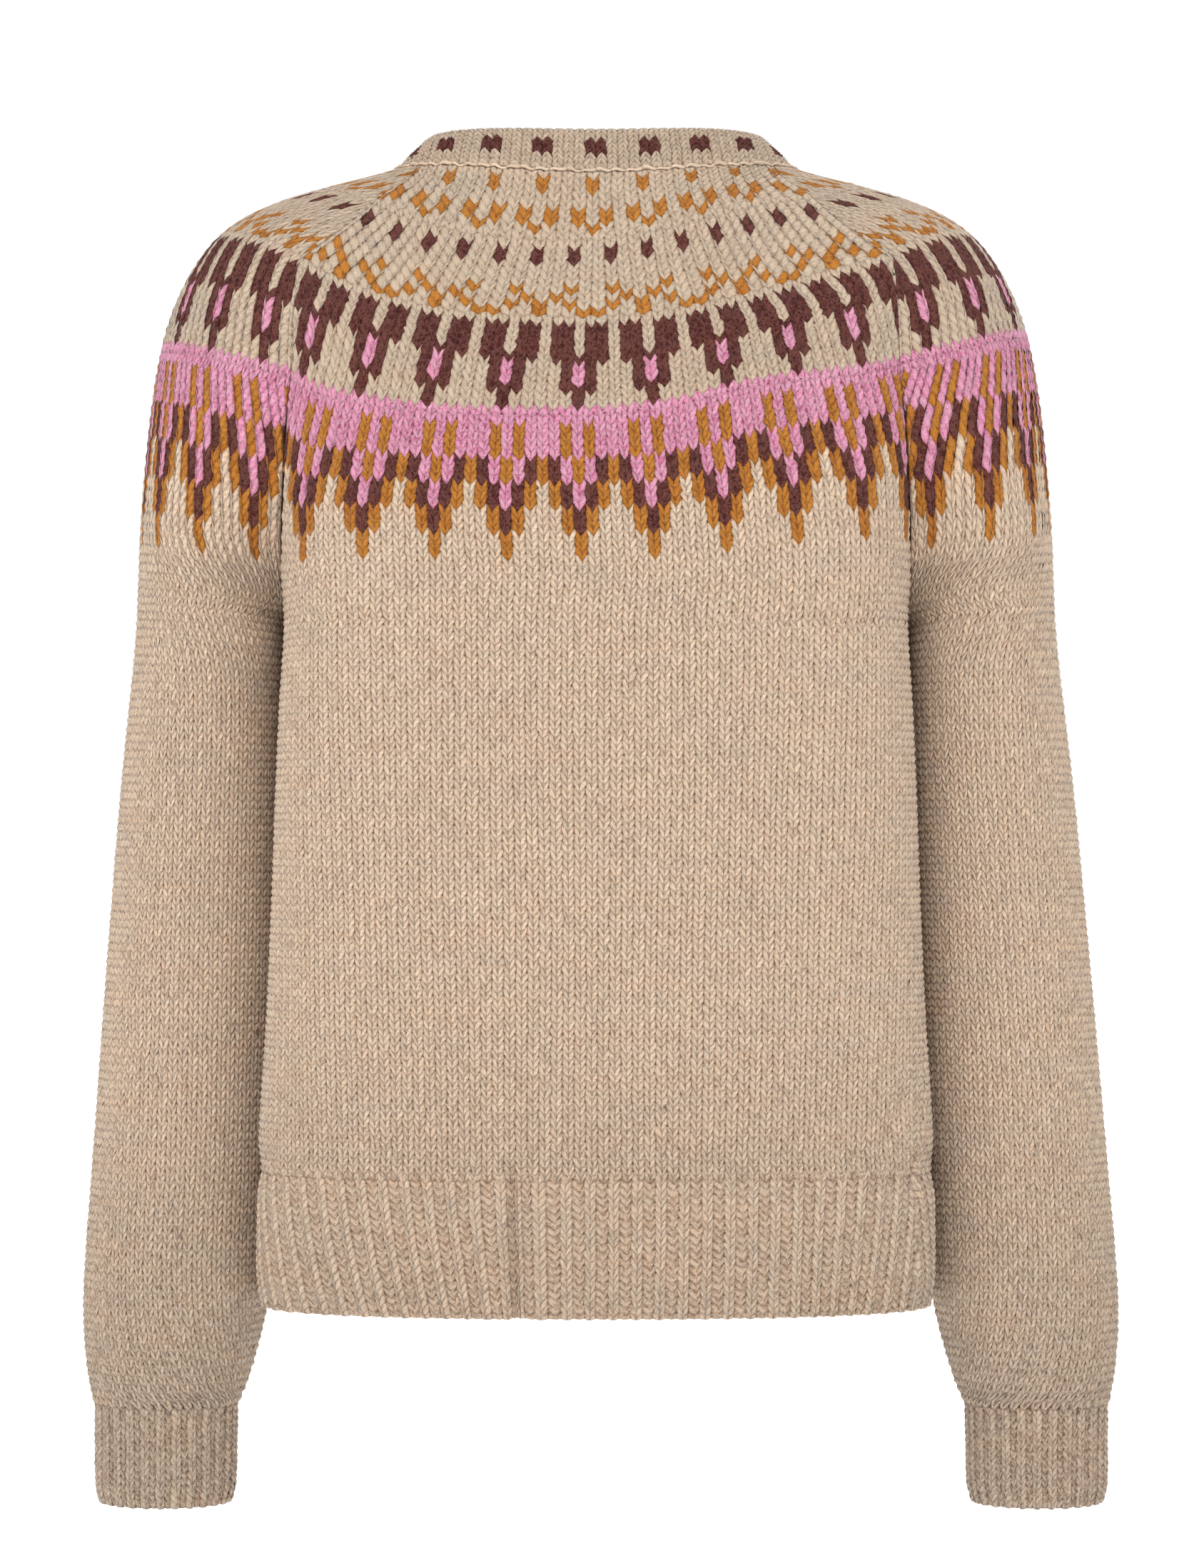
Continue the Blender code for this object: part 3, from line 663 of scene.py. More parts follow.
# %% Creases and slipped rows
# Each crease: its two ends as (row, distance from the middle in mm), half width and rise in mm.
BACK_CREASES = (
    ((-101, -37), (-80, -41), 3.6, -5.5),
    ((-99, -46), (-80, -50), 5.0, 1.4),
    ((-99, -29), (-80, -33), 5.0, 1.2),
    ((-78, 143), (-71, 160), 5.0, -2.4),
    ((-50, 30), (-47, 62), 9.0, -1.2),
    ((-70, -158), (-40, -166), 9.0, -1.4),
)
FRONT_CREASES = (
    ((-14, 150), (-34, 105), 9.0, -1.6),
    ((-8, 140), (-22, 96), 8.0, 1.2),
    ((-77, 150), (-70, 166), 6.0, -2.2),
    ((-98, 92), (-81, 97), 6.0, -2.0),
)
SLEEVE_CREASES = (
    ((-24, -84), (-36, -48), 9.0, -0.7),
    ((-24, 86), (-38, 52), 9.0, -0.7),
    ((-58, -66), (-62, -22), 9.0, -1.3),
    ((-66, -70), (-72, -34), 9.0, 1.2),
    ((-57, 70), (-64, 30), 9.0, -1.5),
    ((-98, -44), (-92, -14), 8.0, 1.2),
)


def turned_round(creases):
    """The same creases for a piece's mirror image."""
    return tuple(((a[0], -a[1]), (b[0], -b[1]), width, rise) for a, b, width, rise in creases)


# Hanging has pulled the yoke's rows a little up or down: the lines give a row and its slips.
BACK_SLIPS = (
    (0.0, 0.05, 0.17, 0.28, 0.39, 0.50, 0.61, 0.70, 0.76, 0.80, 0.89, 1.0),
    (
        (-40, *[0] * 12),
        (0, -0.7, -0.7, 0.3, 0.2, 0, 0, 0.3, 1.2, 1.8, 2.2, 2.2, 1.6),
        (12, -0.6, -1.1, -0.6, -0.2, -0.1, 0, 0.4, 2, 2.6, 2.8, 2.2, 1.4),
        (18, -1.6, -2, -1, -0.6, 0, 0, 1.1, 2.6, 2.5, 2.2, 0.9, -0.6),
        (29, 0, 0, 0.2, 0.2, 0.5, 0.4, 0.9, 1.7, 2.1, 2.4, 2.4, 0.6),
        (38, 0, 0, 0, -0.2, -0.2, 0, 1.1, 1.8, 2.1, 2.3, 2.4, 1.2),
        (43, 0, 0, 0, 0, 0, 0, 0.8, 1.6, 2.1, 2.5, 3, 1.2),
        (48, 0, 0, 0, 0, 0, 0, 0.3, 0.7, 0.8, 0.7, 0.4, 0),
        (49, *[0] * 12),
    ),
)
# On the sleeves the places run from the front seam to the back seam.
SLEEVE_PLACES = (0.0, 0.5, 0.75, 1.0)
SLEEVE_SLIPS = {
    "left": (
        (-30, *[0] * 4),
        (0, 0, -0.4, -0.4, -0.7),
        (12, 0, 1.1, 1, -0.4),
        (18, 0, -0.3, -0.3, -1.6),
        (29, *[0] * 4),
    ),
    "right": (
        (-30, *[0] * 4),
        (0, 0, 1, 0.8, 0.5),
        (12, 0, 1.8, 1.8, 1.4),
        (18, 0, 1.2, 1, -0.5),
        (29, 0, 0, 0.2, 0.5),
        (40, 0, 0, 0.2, 0.8),
        (49, *[0] * 4),
    ),
}


def slips_turned(slips):
    """The same slips for a panel that runs the other way round."""
    places, table = slips
    turned = tuple((line[0], *line[:0:-1]) for line in table)
    return tuple(1 - place for place in places[::-1]), turned


print("creases:", len(BACK_CREASES) + 2 * len(FRONT_CREASES) + 2 * len(SLEEVE_CREASES))

# %% The panels
BODY_SOFTENING = 12
SLEEVE_SOFTENING = 70
FRONT_EDGE = BAND_HALF_WIDTH + SEAM_GAP + 0.4
NECKBAND_EDGE = BAND_HALF_WIDTH - 3.0
UNDERLAP_REACH = BAND_HALF_WIDTH - 2.0
sleeve_foot = ARMPIT_ROW - CUFF_TOP
cuff_foot = ARMPIT_ROW - CUFF_END
seams = (SEAM_TRIM, SEAM_TRIM)
band_edges = (along_rows((0, 0.5)),) * 2
beside_band = along_rows((0, FRONT_EDGE))
front_trim = {"left": (beside_band, SEAM_TRIM), "right": (SEAM_TRIM, beside_band)}
panels = {
    "back": Panel(
        back_line, HEM_ROW, NECK_ROW, seams, BODY_SOFTENING, creases=BACK_CREASES, slips=BACK_SLIPS
    )
}
creases_of = {
    "left": (FRONT_CREASES, SLEEVE_CREASES),
    "right": (turned_round(FRONT_CREASES), turned_round(SLEEVE_CREASES)),
}
for side in ("left", "right"):
    on_front, on_sleeve = creases_of[side]
    slips = (SLEEVE_PLACES, SLEEVE_SLIPS[side])
    if side == "right":
        slips = slips_turned(slips)
    panels["front_" + side] = Panel(
        front_line(side), HEM_ROW, NECK_ROW, front_trim[side], BODY_SOFTENING, creases=on_front
    )
    panels["sleeve_" + side] = Panel(
        sleeve_line(side), sleeve_foot, NECK_ROW, seams, SLEEVE_SOFTENING, on_sleeve, slips
    )
    panels["cuff_" + side] = Panel(sleeve_line(side), cuff_foot, sleeve_foot, seams)
panels["neckband"] = Panel(
    neckband_line, NECK_ROW, TOP_ROW, (along_rows((0, NECKBAND_EDGE)),) * 2
)
panels["button_band_left"] = Panel(
    band_line(-BAND_HALF_WIDTH, BAND_HALF_WIDTH, 0.0), HEM_ROW, TOP_ROW, band_edges
)
panels["buttonhole_band_right"] = Panel(
    band_line(-OVERLAP_REACH, UNDERLAP_REACH, OVERLAP_LIFT), HEM_ROW, TOP_ROW, band_edges
)
print("panels:", ", ".join(panels))

# %% [markdown]
# ## Knitting in relief
#
# Stocking stitch is a field of small V shapes. Each V is two plump legs of yarn that lean
# outwards from the stitch's middle. A grid with four columns and two lines to a stitch is
# enough to show them: the columns fall in the valleys and on the legs, and the lines are
# lifted at the columns between two Vs and lowered at the middle of each V, which leans the
# legs. A displacement map could do the same, but real points keep the scalloped silhouettes
# as true geometry. A `Profile` describes the columns of one repeat.


# %% The profile of one repeat
class Profile:
    """The columns of one repeat: where they stand, how high, and how far they lean up a row."""

    def __init__(self, columns):
        self.at, groove, crest, self.rise = np.array(columns).T
        self.groove = groove * MM
        self.crest = crest * MM
        self.count = len(columns)


# Each column: place in the repeat, height in the groove and on the crest (mm), rise in rows.
STOCKING = Profile((
    (0.00, -0.90, -0.45, 0.46),
    (0.25, 0.10, 0.75, 0.00),
    (0.50, -0.55, -0.10, -0.46),
    (0.75, 0.10, 0.75, 0.00),
))
TURNED_STOCKING = Profile((
    (0.00, -1.15, -0.75, -0.55),
    (0.25, 0.00, 0.80, 0.00),
    (0.50, -0.60, -0.05, 0.55),
    (0.75, 0.00, 0.80, 0.00),
))


def rib_profile(knit_share):
    """One knit column with its two legs, then the purl groove. knit_share is the knit's width."""
    groove = 1 - knit_share
    return Profile((
        (0.0, -0.80, -0.60, 0.45),
        (knit_share * 0.25, 0.55, 1.00, 0.00),
        (knit_share * 0.5, 0.00, 0.25, -0.50),
        (knit_share * 0.75, 0.55, 1.00, 0.00),
        (knit_share, -0.80, -0.60, 0.45),
        (knit_share + groove / 3, -0.90, -0.35, 0.10),
        (knit_share + groove * 2 / 3, -0.90, -0.35, -0.22),
    ))


# The cuffs' grooves are drawn in more than the hem's.
HEM_KNIT_SHARE = 0.50
CUFF_KNIT_SHARE = 0.62
HEM_RIB = rib_profile(HEM_KNIT_SHARE)
CUFF_RIB = rib_profile(CUFF_KNIT_SHARE)
print("points to a stitch:", 2 * STOCKING.count)

# %% [markdown]
# ## The yoke's chart
#
# A knitter reads a round yoke from a chart whose small repeats run round the garment. A
# repeat is symmetrical, so half of it is enough: the first letter is the middle stitch, the
# next one the stitches on both sides of it, and so on. O is oatmeal, C cream, M mustard,
# B brown and P pink.

# %% The chart
YARNS = "OCMBP"
# Name, first row, stitches in the repeat, and the rows from the bottom up. A number says for
# how many rows its letters are knitted.
CHART = (
    ("steps", 0, 6, "3 MOOO 3 BMOO 3 PBMO 3 MPBM 4 PMPP 2 PPPP"),
    ("leaves", 18, 6, "2 BCCC 1 BBCC 3 PBCC 1 BBBC 4 CBBC"),
    ("zigzag", 30, 7, "1 MCCM 1 MCMC 1 CMCC 1 CCMC"),
    ("dots", 37, 3, "2 BC"),
    ("diamonds", 41, 4, "1 MCC 2 CMC 2 CCC 2 MCC"),
)
YOKE_GROUND_ROW = 18


def charted(stitches, rows, phases):
    """The yarn of each stitch, as its place in YARNS. phases shifts the bands sideways."""
    yarns = np.where(rows < YOKE_GROUND_ROW, YARNS.index("O"), YARNS.index("C"))
    for name, first, repeat, lines in CHART:
        counts, halves = lines.split()[::2], lines.split()[1::2]
        letters = np.array([[YARNS.index(letter) for letter in half] for half in halves])
        letters = np.repeat(letters, [int(count) for count in counts], axis=0)
        within = (rows >= first) & (rows < first + len(letters))
        step = (stitches - phases.get(name, 0)) % repeat
        half = np.minimum(step, repeat - step)
        line = np.clip(rows - first, 0, len(letters) - 1)
        yarns = np.where(within, letters[line, half], yarns)
    return yarns


sample = charted(np.arange(-3, 4), np.full(7, 10), {})
print("row 10 of the chart:", "".join(YARNS[i] for i in sample))

# %% A knitted surface being made
# The flat layout has the face side in its left half and the inner side in its right half.
LAYOUT_MARGIN = 0.012
HALF_WIDTH = 0.476
OUTER_HALF = LAYOUT_MARGIN
INNER_HALF = 0.5 + LAYOUT_MARGIN


class Knitting:
    """The points and faces of one knitted piece, collected until it is made a mesh."""

    def __init__(self, panel, first, last):
        self.panel = panel
        self.first = first
        self.last = last
        self.parts = {"point": [], "spot": [], "stitch": [], "flat": [], "relief": []}
        self.count = 0
        self.faces = []

    def add_points(self, row, distance, height, stitch, relief, half=OUTER_HALF, shift=0.0):
        """Adds points on the panel, with their place in stitches and in the relief."""
        first = self.count
        parts = self.parts
        parts["point"].append(self.panel.place(row, distance, height) + shift)
        parts["spot"].append(np.stack((row, distance, height), -1))
        parts["stitch"].append(stitch)
        parts["flat"].append(self.flat_place(row, distance, half))
        parts["relief"].append(np.broadcast_to(relief, row.shape))
        self.count += len(row)
        return first + np.arange(len(row))

    def flat_place(self, row, distance, half):
        """Where a place lies in the piece's flat layout. half is where its half starts."""
        low = self.panel.start.min()
        high = self.panel.end.max()
        across = half + HALF_WIDTH * (distance - low) / (high - low)
        rise = (row - self.first + 1) / (self.last - self.first + 2)
        return np.stack((across, LAYOUT_MARGIN + (1 - 2 * LAYOUT_MARGIN) * rise), axis=-1)

    def add_faces(self, corners, yarn, stitch=None):
        """Adds faces that all have the same number of corners. stitch gives the corners' places
        in stitches where the points' own ones don't serve."""
        if len(corners):
            self.faces.append((np.asarray(corners), np.broadcast_to(yarn, len(corners)), stitch))

    def all(self, part):
        """Every point's value of this part."""
        return np.concatenate(self.parts[part])

    def places(self, numbers):
        """Where points lie round the piece's edges: 0 to 1 along the bottom, 1 to 2 up the right
        edge, 2 to 3 back along the top and 3 to 4 down the left edge, as four separate runs."""
        row, distance, _ = self.all("spot")[numbers].T
        low, high = self.panel.limits(row)
        across = (distance - low) / (high - low)
        upward = (row - self.first) / (self.last - self.first)
        return across, 1 + upward, 3 - across, 4 - upward


print("the flat layout's halves start at", OUTER_HALF, "and", INNER_HALF)

# %% Relief rows over a panel
FADE_ROWS = 1.0
SEAM_MARGIN = 0.12
SPARE_STITCHES = 3
# Hand knitting is uneven: how far its wales wander, and how much each point strays.
WANDER = 0.22 * MM
HEIGHT_UNREST = 0.10 * MM
ROW_UNREST = 0.05
VALLEY_UNREST = 0.34 * MM
LEG_UNREST = 0.15 * MM
noise = np.random.default_rng(11)


def wander(stitches, rows):
    """A slow sideways drift of the wales, as hand knitting has."""
    near = np.sin(stitches * 0.41 + rows * 0.083 + 0.7)
    return WANDER * (near + np.sin(stitches * 0.23 - rows * 0.127 + 2.1))


def unique_run(numbers):
    """The numbers in order, without the repeats at either end."""
    return numbers[np.append(True, numbers[1:] != numbers[:-1])]


# How deep in mm the seams sink: plainly below, and not at all in the yoke.
SEAM_DEPTH = along_rows((9, 0.9), (17, 0.0))
# How strong the relief is: the yoke's two-coloured rows are knitted flatter.
RELIEF_SHARE = along_rows((-25, 1.0), (0, 0.8), (20, 0.75), (33, 0.28), (48.5, 0.28), (50, 0.95))


def knit_rows(knitting, first, last, profile, width, middle=NOTHING, chart=None, drift=None,
              ends=(0.0, 0.0), lift=NOTHING):
    """Knits rows first to last in relief. Returns the runs of points along its four edges. ends
    gives how much of their lean the legs keep on the first and the last line."""
    lines = int(round(2 * (last - first))) + 1
    rows = first + np.arange(lines)[:, None] / 2
    repeat = width(rows) * MM
    centre = middle(rows) * MM
    low, high = knitting.panel.limits(rows)
    leftmost = int(np.floor(((low - centre) / repeat).min())) - SPARE_STITCHES
    rightmost = int(np.ceil(((high - centre) / repeat).max())) + SPARE_STITCHES
    stitches = np.repeat(np.arange(leftmost, rightmost), profile.count)
    column = np.tile(np.arange(profile.count), rightmost - leftmost)
    across = stitches + profile.at[column]
    distance = centre + (across - 0.5) * repeat
    if drift is not None:
        distance = distance + drift(distance, rows)
    distance = distance + wander(across, rows)
    shape = distance.shape
    fading = np.minimum(ends[0] + (rows - first) / FADE_ROWS, ends[1] + (last - rows) / FADE_ROWS)
    fading = np.minimum(fading, 1.0)
    on_crest = np.round(2 * rows).astype(int) % 2 == 1
    full_height = np.where(on_crest, profile.crest[column], profile.groove[column])
    height = full_height * RELIEF_SHARE(rows) + noise.normal(0.0, HEIGHT_UNREST, shape)
    row = rows + profile.rise[column] * fading + noise.normal(0.0, ROW_UNREST, shape) * fading
    # The valleys wander most, so the edges between two colours are a little ragged.
    unrest = np.where(profile.at[column] == 0, VALLEY_UNREST, LEG_UNREST)
    distance = distance + noise.normal(0.0, 1.0, shape) * unrest
    # The last column inside each edge is followed by one point on the seam itself.
    margin = SEAM_MARGIN * repeat
    inside = (distance > low + margin) & (distance < high - margin)
    order = np.arange(shape[1])
    left = np.where(inside, order, shape[1]).min(axis=1, keepdims=True) - 1
    right = np.where(inside, order, -1).max(axis=1, keepdims=True) + 1
    kept = (order >= left) & (order <= right)
    seam = (order <= left) | (order >= right)
    distance = np.where(order <= left, low, np.where(order >= right, high, distance))
    row = np.clip(np.where(seam, rows, row), first - ends[0], last + ends[1])
    height = np.where(seam, -SEAM_DEPTH(rows) * MM, height) + lift(rows) * MM
    seam_stitch = (distance - centre) / repeat + 0.5
    stitch = np.stack((np.where(seam, seam_stitch, across), np.broadcast_to(rows, shape)), -1)
    # The relief value sets the painted hollow shade: 0 in the deepest groove, 1 on the highest crest.
    deepest = min(profile.groove.min(), profile.crest.min())
    # It is read before the yoke's relief is flattened, so the painted shade stays as deep there.
    relief = np.clip((full_height - deepest) / (profile.crest.max() - deepest), 0, 1)
    numbers = np.zeros(shape, dtype=int)
    layers = (row, distance, height, stitch, relief)
    numbers[kept] = knitting.add_points(*(layer[kept] for layer in layers))
    numbers = np.take_along_axis(numbers, np.clip(order, left, right), axis=1)
    yarn = np.zeros((lines - 1, shape[1] - 1), dtype=int)
    if chart is not None:
        row_number = np.broadcast_to(np.floor(rows[:-1]).astype(int), yarn.shape)
        yarn = chart(np.broadcast_to(stitches[:-1], yarn.shape), row_number)
    a, b = numbers[:-1, :-1], numbers[:-1, 1:]
    c, d = numbers[1:, 1:], numbers[1:, :-1]
    whole = (a != b) & (c != d)
    narrow_foot = (a == b) & (c != d)
    narrow_head = (a != b) & (c == d)
    knitting.add_faces(np.stack((a, b, c, d), -1)[whole], yarn[whole])
    knitting.add_faces(np.stack((a, c, d), -1)[narrow_foot], yarn[narrow_foot])
    knitting.add_faces(np.stack((a, b, c), -1)[narrow_head], yarn[narrow_head])
    return {
        "bottom": unique_run(numbers[0]),
        "top": unique_run(numbers[-1]),
        "left": numbers[:, 0],
        "right": numbers[:, -1],
    }


print("uneven by %.2f mm in height" % (HEIGHT_UNREST / MM))

# %% Joining rows whose stitch counts differ
def zipped(lower, lower_place, upper, upper_place):
    """Triangles between two runs of points that run the same way, the lower one below."""
    triangles = []
    i = 0
    j = 0
    while i < len(lower) - 1 or j < len(upper) - 1:
        lower_next = lower_place[i + 1] if i < len(lower) - 1 else np.inf
        upper_next = upper_place[j + 1] if j < len(upper) - 1 else np.inf
        if lower_next <= upper_next:
            triangles.append((lower[i], lower[i + 1], upper[j]))
            i += 1
        else:
            triangles.append((lower[i], upper[j + 1], upper[j]))
            j += 1
    return np.array(triangles)


def joined_blocks(knitting, blocks, yarns):
    """Joins blocks of rows, the lowest first, and returns the runs round the whole piece."""
    for below, above, yarn in zip(blocks, blocks[1:], yarns):
        lower, upper = below["top"], above["bottom"]
        spots = [knitting.all("spot")[run] for run in (lower, upper)]
        corners = zipped(lower, spots[0][:, 1], upper, spots[1][:, 1])
        # The strip counts its stitches as the rows below it do.
        counted = knitting.all("stitch").copy()
        order = np.argsort(spots[0][:, 1])
        known = counted[lower][order, 0]
        counted[upper, 0] = np.interp(spots[1][:, 1], spots[0][order, 1], known)
        knitting.add_faces(corners, yarn, counted[corners])
    return {
        "bottom": blocks[0]["bottom"],
        "top": blocks[-1]["top"],
        "left": np.concatenate([block["left"] for block in blocks]),
        "right": np.concatenate([block["right"] for block in blocks]),
    }


print("two stitches meet three in", len(zipped(range(3), range(3), range(4), range(4))), "triangles")


# %% [markdown]
# ## The inner side and the rim
#
# Cloth has two sides. The large pieces get a plain lining of one face to a stitch, because
# the inner side hardly shows. The ribbed edges are seen from both sides, so their inner side
# is a copy of the relief pushed through the wall: where the face side rises, the inner side
# sinks, as on real ribbing. A rim bulges round every edge between the two sides.

# %% A plain lining
# The relief values of the lining and the rim set how much painted hollow shade they get.
LINING_RELIEF = 0.7
RIM_RELIEF = 0.3
LINING_DEPTH = 2.4 * MM
RIM_BULGE = 0.7 * MM
UPPER_SHARE = along_rows((9, 1.0), (17, 0.15))
EDGE_ORDER = ("bottom", "right", "top", "left")


def ring_of(knitting, runs):
    """The point numbers round a piece, anticlockwise seen from outside, and their places."""
    numbers = []
    places = []
    for side, name in enumerate(EDGE_ORDER):
        run = runs[name] if side < 2 else runs[name][::-1]
        numbers.append(run[:-1])
        places.append(knitting.places(run[:-1])[side])
    return np.concatenate(numbers), np.concatenate(places)


def rim_points(knitting, ring):
    """Points halfway through the wall, outside each point of the ring."""
    points = knitting.all("point")[ring]
    row, distance, _ = knitting.all("spot")[ring].T
    along = unit(np.roll(points, -1, 0) - np.roll(points, 1, 0))
    outward = np.cross(along, knitting.panel.outward(row, distance))
    half_way = np.full(len(ring), -LINING_DEPTH / 2)
    stitch = knitting.all("stitch")[ring]
    bulge = outward * (RIM_BULGE * UPPER_SHARE(row))[:, None]
    return knitting.add_points(row, distance, half_way, stitch, RIM_RELIEF, shift=bulge)


def zipped_rings(outer, outer_place, inner, inner_place):
    """Triangles between two closed rings of points that run the same way."""
    def closed(ring, place):
        return np.append(ring, ring[0])[::-1], -np.append(place, 4.0)[::-1]

    return zipped(*closed(outer, outer_place), *closed(inner, inner_place))


def line_knitting(knitting, runs, stitch_width, yarn, chart):
    """Adds the plain inner side of a piece and the rim round it."""
    stitch_width = stitch_width * MM
    count = int(round(knitting.last - knitting.first)) + 1
    rows = np.linspace(knitting.first, knitting.last, count)[:, None]
    low, high = knitting.panel.limits(rows)
    strips = int(round((high - low).max() / stitch_width))
    grid = low + (high - low) * np.linspace(0, 1, strips + 1)
    distance = grid.ravel()
    row = np.broadcast_to(rows, grid.shape).ravel()
    inner = knitting.add_points(
        row, distance, np.full(row.size, -LINING_DEPTH), np.stack((distance / stitch_width, row), -1),
        LINING_RELIEF, INNER_HALF,
    ).reshape(grid.shape)
    a, b = inner[:-1, :-1], inner[:-1, 1:]
    c, d = inner[1:, 1:], inner[1:, :-1]
    knitting.add_faces(np.stack((d, c, b, a), -1).reshape(-1, 4), yarn)
    outer, outer_place = ring_of(knitting, runs)
    edges = {"bottom": inner[0], "right": inner[:, -1], "top": inner[-1], "left": inner[:, 0]}
    lining, lining_place = ring_of(knitting, edges)
    mid = rim_points(knitting, outer)
    onward = np.roll(np.arange(len(outer)), -1)
    beside = np.floor(knitting.all("stitch")[outer]).astype(int)
    edge_yarn = chart(beside[:, 0], beside[:, 1])
    knitting.add_faces(np.stack((outer[onward], outer, mid, mid[onward]), -1), edge_yarn)
    knitting.add_faces(zipped_rings(mid, outer_place, lining, lining_place), yarn)


print("lining: %.1f mm below the panel" % (LINING_DEPTH / MM))

# %% An inner side that copies the relief
COPY_DEPTH = 2.3 * MM
COPY_RELIEF = 0.6


def loose_edges(faces):
    """The directed edges that only one face uses."""
    edges = np.concatenate([np.stack((f, np.roll(f, -1, 1)), -1).reshape(-1, 2) for f, _, _ in faces])
    size = int(edges.max()) + 1
    there = edges[:, 0] * size + edges[:, 1]
    back = edges[:, 1] * size + edges[:, 0]
    return edges[~np.isin(there, back)]


def copy_to_inside(knitting, yarn):
    """Adds an inner side with the same points, and a rim along every loose edge."""
    spot = knitting.all("spot")
    outer_faces = list(knitting.faces)
    edges = loose_edges(outer_faces)
    row, distance, height = spot.T
    depth = -COPY_DEPTH + COPY_RELIEF * height
    stitch = knitting.all("stitch")
    relief = 1.0 - knitting.all("relief")
    outer_points = knitting.all("point")
    inner = knitting.add_points(row, distance, depth, stitch, relief, INNER_HALF)
    for corners, yarns, _ in outer_faces:
        knitting.add_faces(inner[corners][:, ::-1], yarns)
    rim = np.unique(edges)
    along = np.zeros((len(spot), 3))
    run = unit(outer_points[edges[:, 1]] - outer_points[edges[:, 0]])
    np.add.at(along, edges[:, 0], run)
    np.add.at(along, edges[:, 1], run)
    bulge = np.cross(unit(along[rim]), knitting.panel.outward(row[rim], distance[rim])) * RIM_BULGE
    half_way = (height + depth)[rim] / 2
    middle_of = np.zeros(len(spot), dtype=int)
    middle_of[rim] = knitting.add_points(
        row[rim], distance[rim], half_way, stitch[rim], RIM_RELIEF, shift=bulge
    )
    a, b = edges[:, 0], edges[:, 1]
    knitting.add_faces(np.stack((b, a, middle_of[a], middle_of[b]), -1), yarn)
    knitting.add_faces(np.stack((middle_of[b], middle_of[a], inner[a], inner[b]), -1), yarn)


print("copied side: %.1f mm below the panel" % (COPY_DEPTH / MM))

# %% Making the mesh
def add_object(name, data):
    """A new object in the scene."""
    added = bpy.data.objects.new(name, data)
    bpy.context.scene.collection.objects.link(added)
    return added


def add_layers(mesh, relief, **maps):
    """Gives a mesh its relief value at every point and its maps at every corner."""
    for name, places in maps.items():
        layer = mesh.uv_layers.new(name=name)
        layer.data.foreach_set("uv", places.astype(np.float32).ravel())
    values = mesh.attributes.new("relief", "FLOAT", "POINT").data
    values.foreach_set("value", relief.astype(np.float32))


def make_piece(name, knitting, materials):
    """A new mesh object from the knitting, with its stitch map, flat map and relief values."""
    points = knitting.all("point")
    stitch = knitting.all("stitch")
    corners = np.concatenate([faces.ravel() for faces, _, _ in knitting.faces])
    sizes = np.concatenate([np.full(len(faces), faces.shape[1]) for faces, _, _ in knitting.faces])
    starts = np.cumsum(sizes) - sizes
    yarns = np.concatenate([yarn for _, yarn, _ in knitting.faces])
    counted = np.concatenate([
        (stitch[faces] if own is None else own).reshape(-1, 2) for faces, _, own in knitting.faces
    ])
    mesh = bpy.data.meshes.new(name)
    mesh.vertices.add(len(points))
    mesh.vertices.foreach_set("co", points.astype(np.float32).ravel())
    mesh.loops.add(len(corners))
    mesh.loops.foreach_set("vertex_index", corners.astype(np.int32))
    mesh.polygons.add(len(sizes))
    mesh.polygons.foreach_set("loop_start", starts.astype(np.int32))
    mesh.polygons.foreach_set("material_index", yarns.astype(np.int32))
    add_layers(mesh, knitting.all("relief"), stitch=counted, OFBake=knitting.all("flat")[corners])
    for material in materials:
        mesh.materials.append(material)
    mesh.update(calc_edges=True)
    mesh.validate(verbose=False)
    mesh.shade_smooth()
    print("%s: %d triangles" % (name, (sizes - 2).sum()))
    return add_object(name, mesh)


print("a mesh is made from a Knitting's parts:", ", ".join(Knitting(panels["neckband"], 0, 1).parts))

# %% [markdown]
# ## Shader groups for yarn
#
# Seen close, this wool is a soft twisted yarn. Its legs are plump, with painted highlights on
# their crests, and dark little gaps of painted shade lie where legs meet. Its plies show as
# slanting streaks, bumped and brightened with painted highlights, short hairs cross it and the
# dye is uneven from stitch to stitch. Every yarn shares these effects, so each effect is a node
# group with named inputs and outputs, and each material sets its own strengths. The groups read
# the `stitch` map, which counts one unit to a stitch and one to a row.

# %% Helpers for nodes
def connect(tree, value, socket):
    """Links a socket's value to this socket, or sets a plain value on it."""
    if isinstance(value, bpy.types.NodeSocket):
        tree.links.new(value, socket)
    else:
        socket.default_value = value


def calc(tree, operation, *values):
    """A Math node's result."""
    node = tree.nodes.new("ShaderNodeMath")
    node.operation = operation
    for value, socket in zip(values, node.inputs):
        connect(tree, value, socket)
    return node.outputs[0]


def stepped(tree, value, low, high, to_low=0.0, to_high=1.0):
    """A smooth change from to_low to to_high as the value goes from low to high."""
    node = tree.nodes.new("ShaderNodeMapRange")
    node.interpolation_type = "SMOOTHSTEP"
    for socket, setting in zip(node.inputs, (value, low, high, to_low, to_high)):
        connect(tree, setting, socket)
    return node.outputs[0]


def mixed(tree, share, first, second, mode="MIX"):
    """Two colours mixed by share."""
    node = tree.nodes.new("ShaderNodeMix")
    node.data_type = "RGBA"
    node.blend_type = mode
    for name, value in (("Factor_Float", share), ("A_Color", first), ("B_Color", second)):
        socket = next(s for s in node.inputs if s.identifier == name)
        connect(tree, value, socket)
    return next(s for s in node.outputs if s.identifier == "Result_Color")


def vector_of(tree, x, y, z=0.0):
    """A vector from three values."""
    node = tree.nodes.new("ShaderNodeCombineXYZ")
    for value, socket in zip((x, y, z), node.inputs):
        connect(tree, value, socket)
    return node.outputs[0]


def noise_of(tree, vector, scale, detail=2.0, roughness=0.5):
    """A noise texture's value."""
    node = tree.nodes.new("ShaderNodeTexNoise")
    connect(tree, vector, node.inputs["Vector"])
    node.inputs["Scale"].default_value = scale
    node.inputs["Detail"].default_value = detail
    node.inputs["Roughness"].default_value = roughness
    return node.outputs["Fac"]


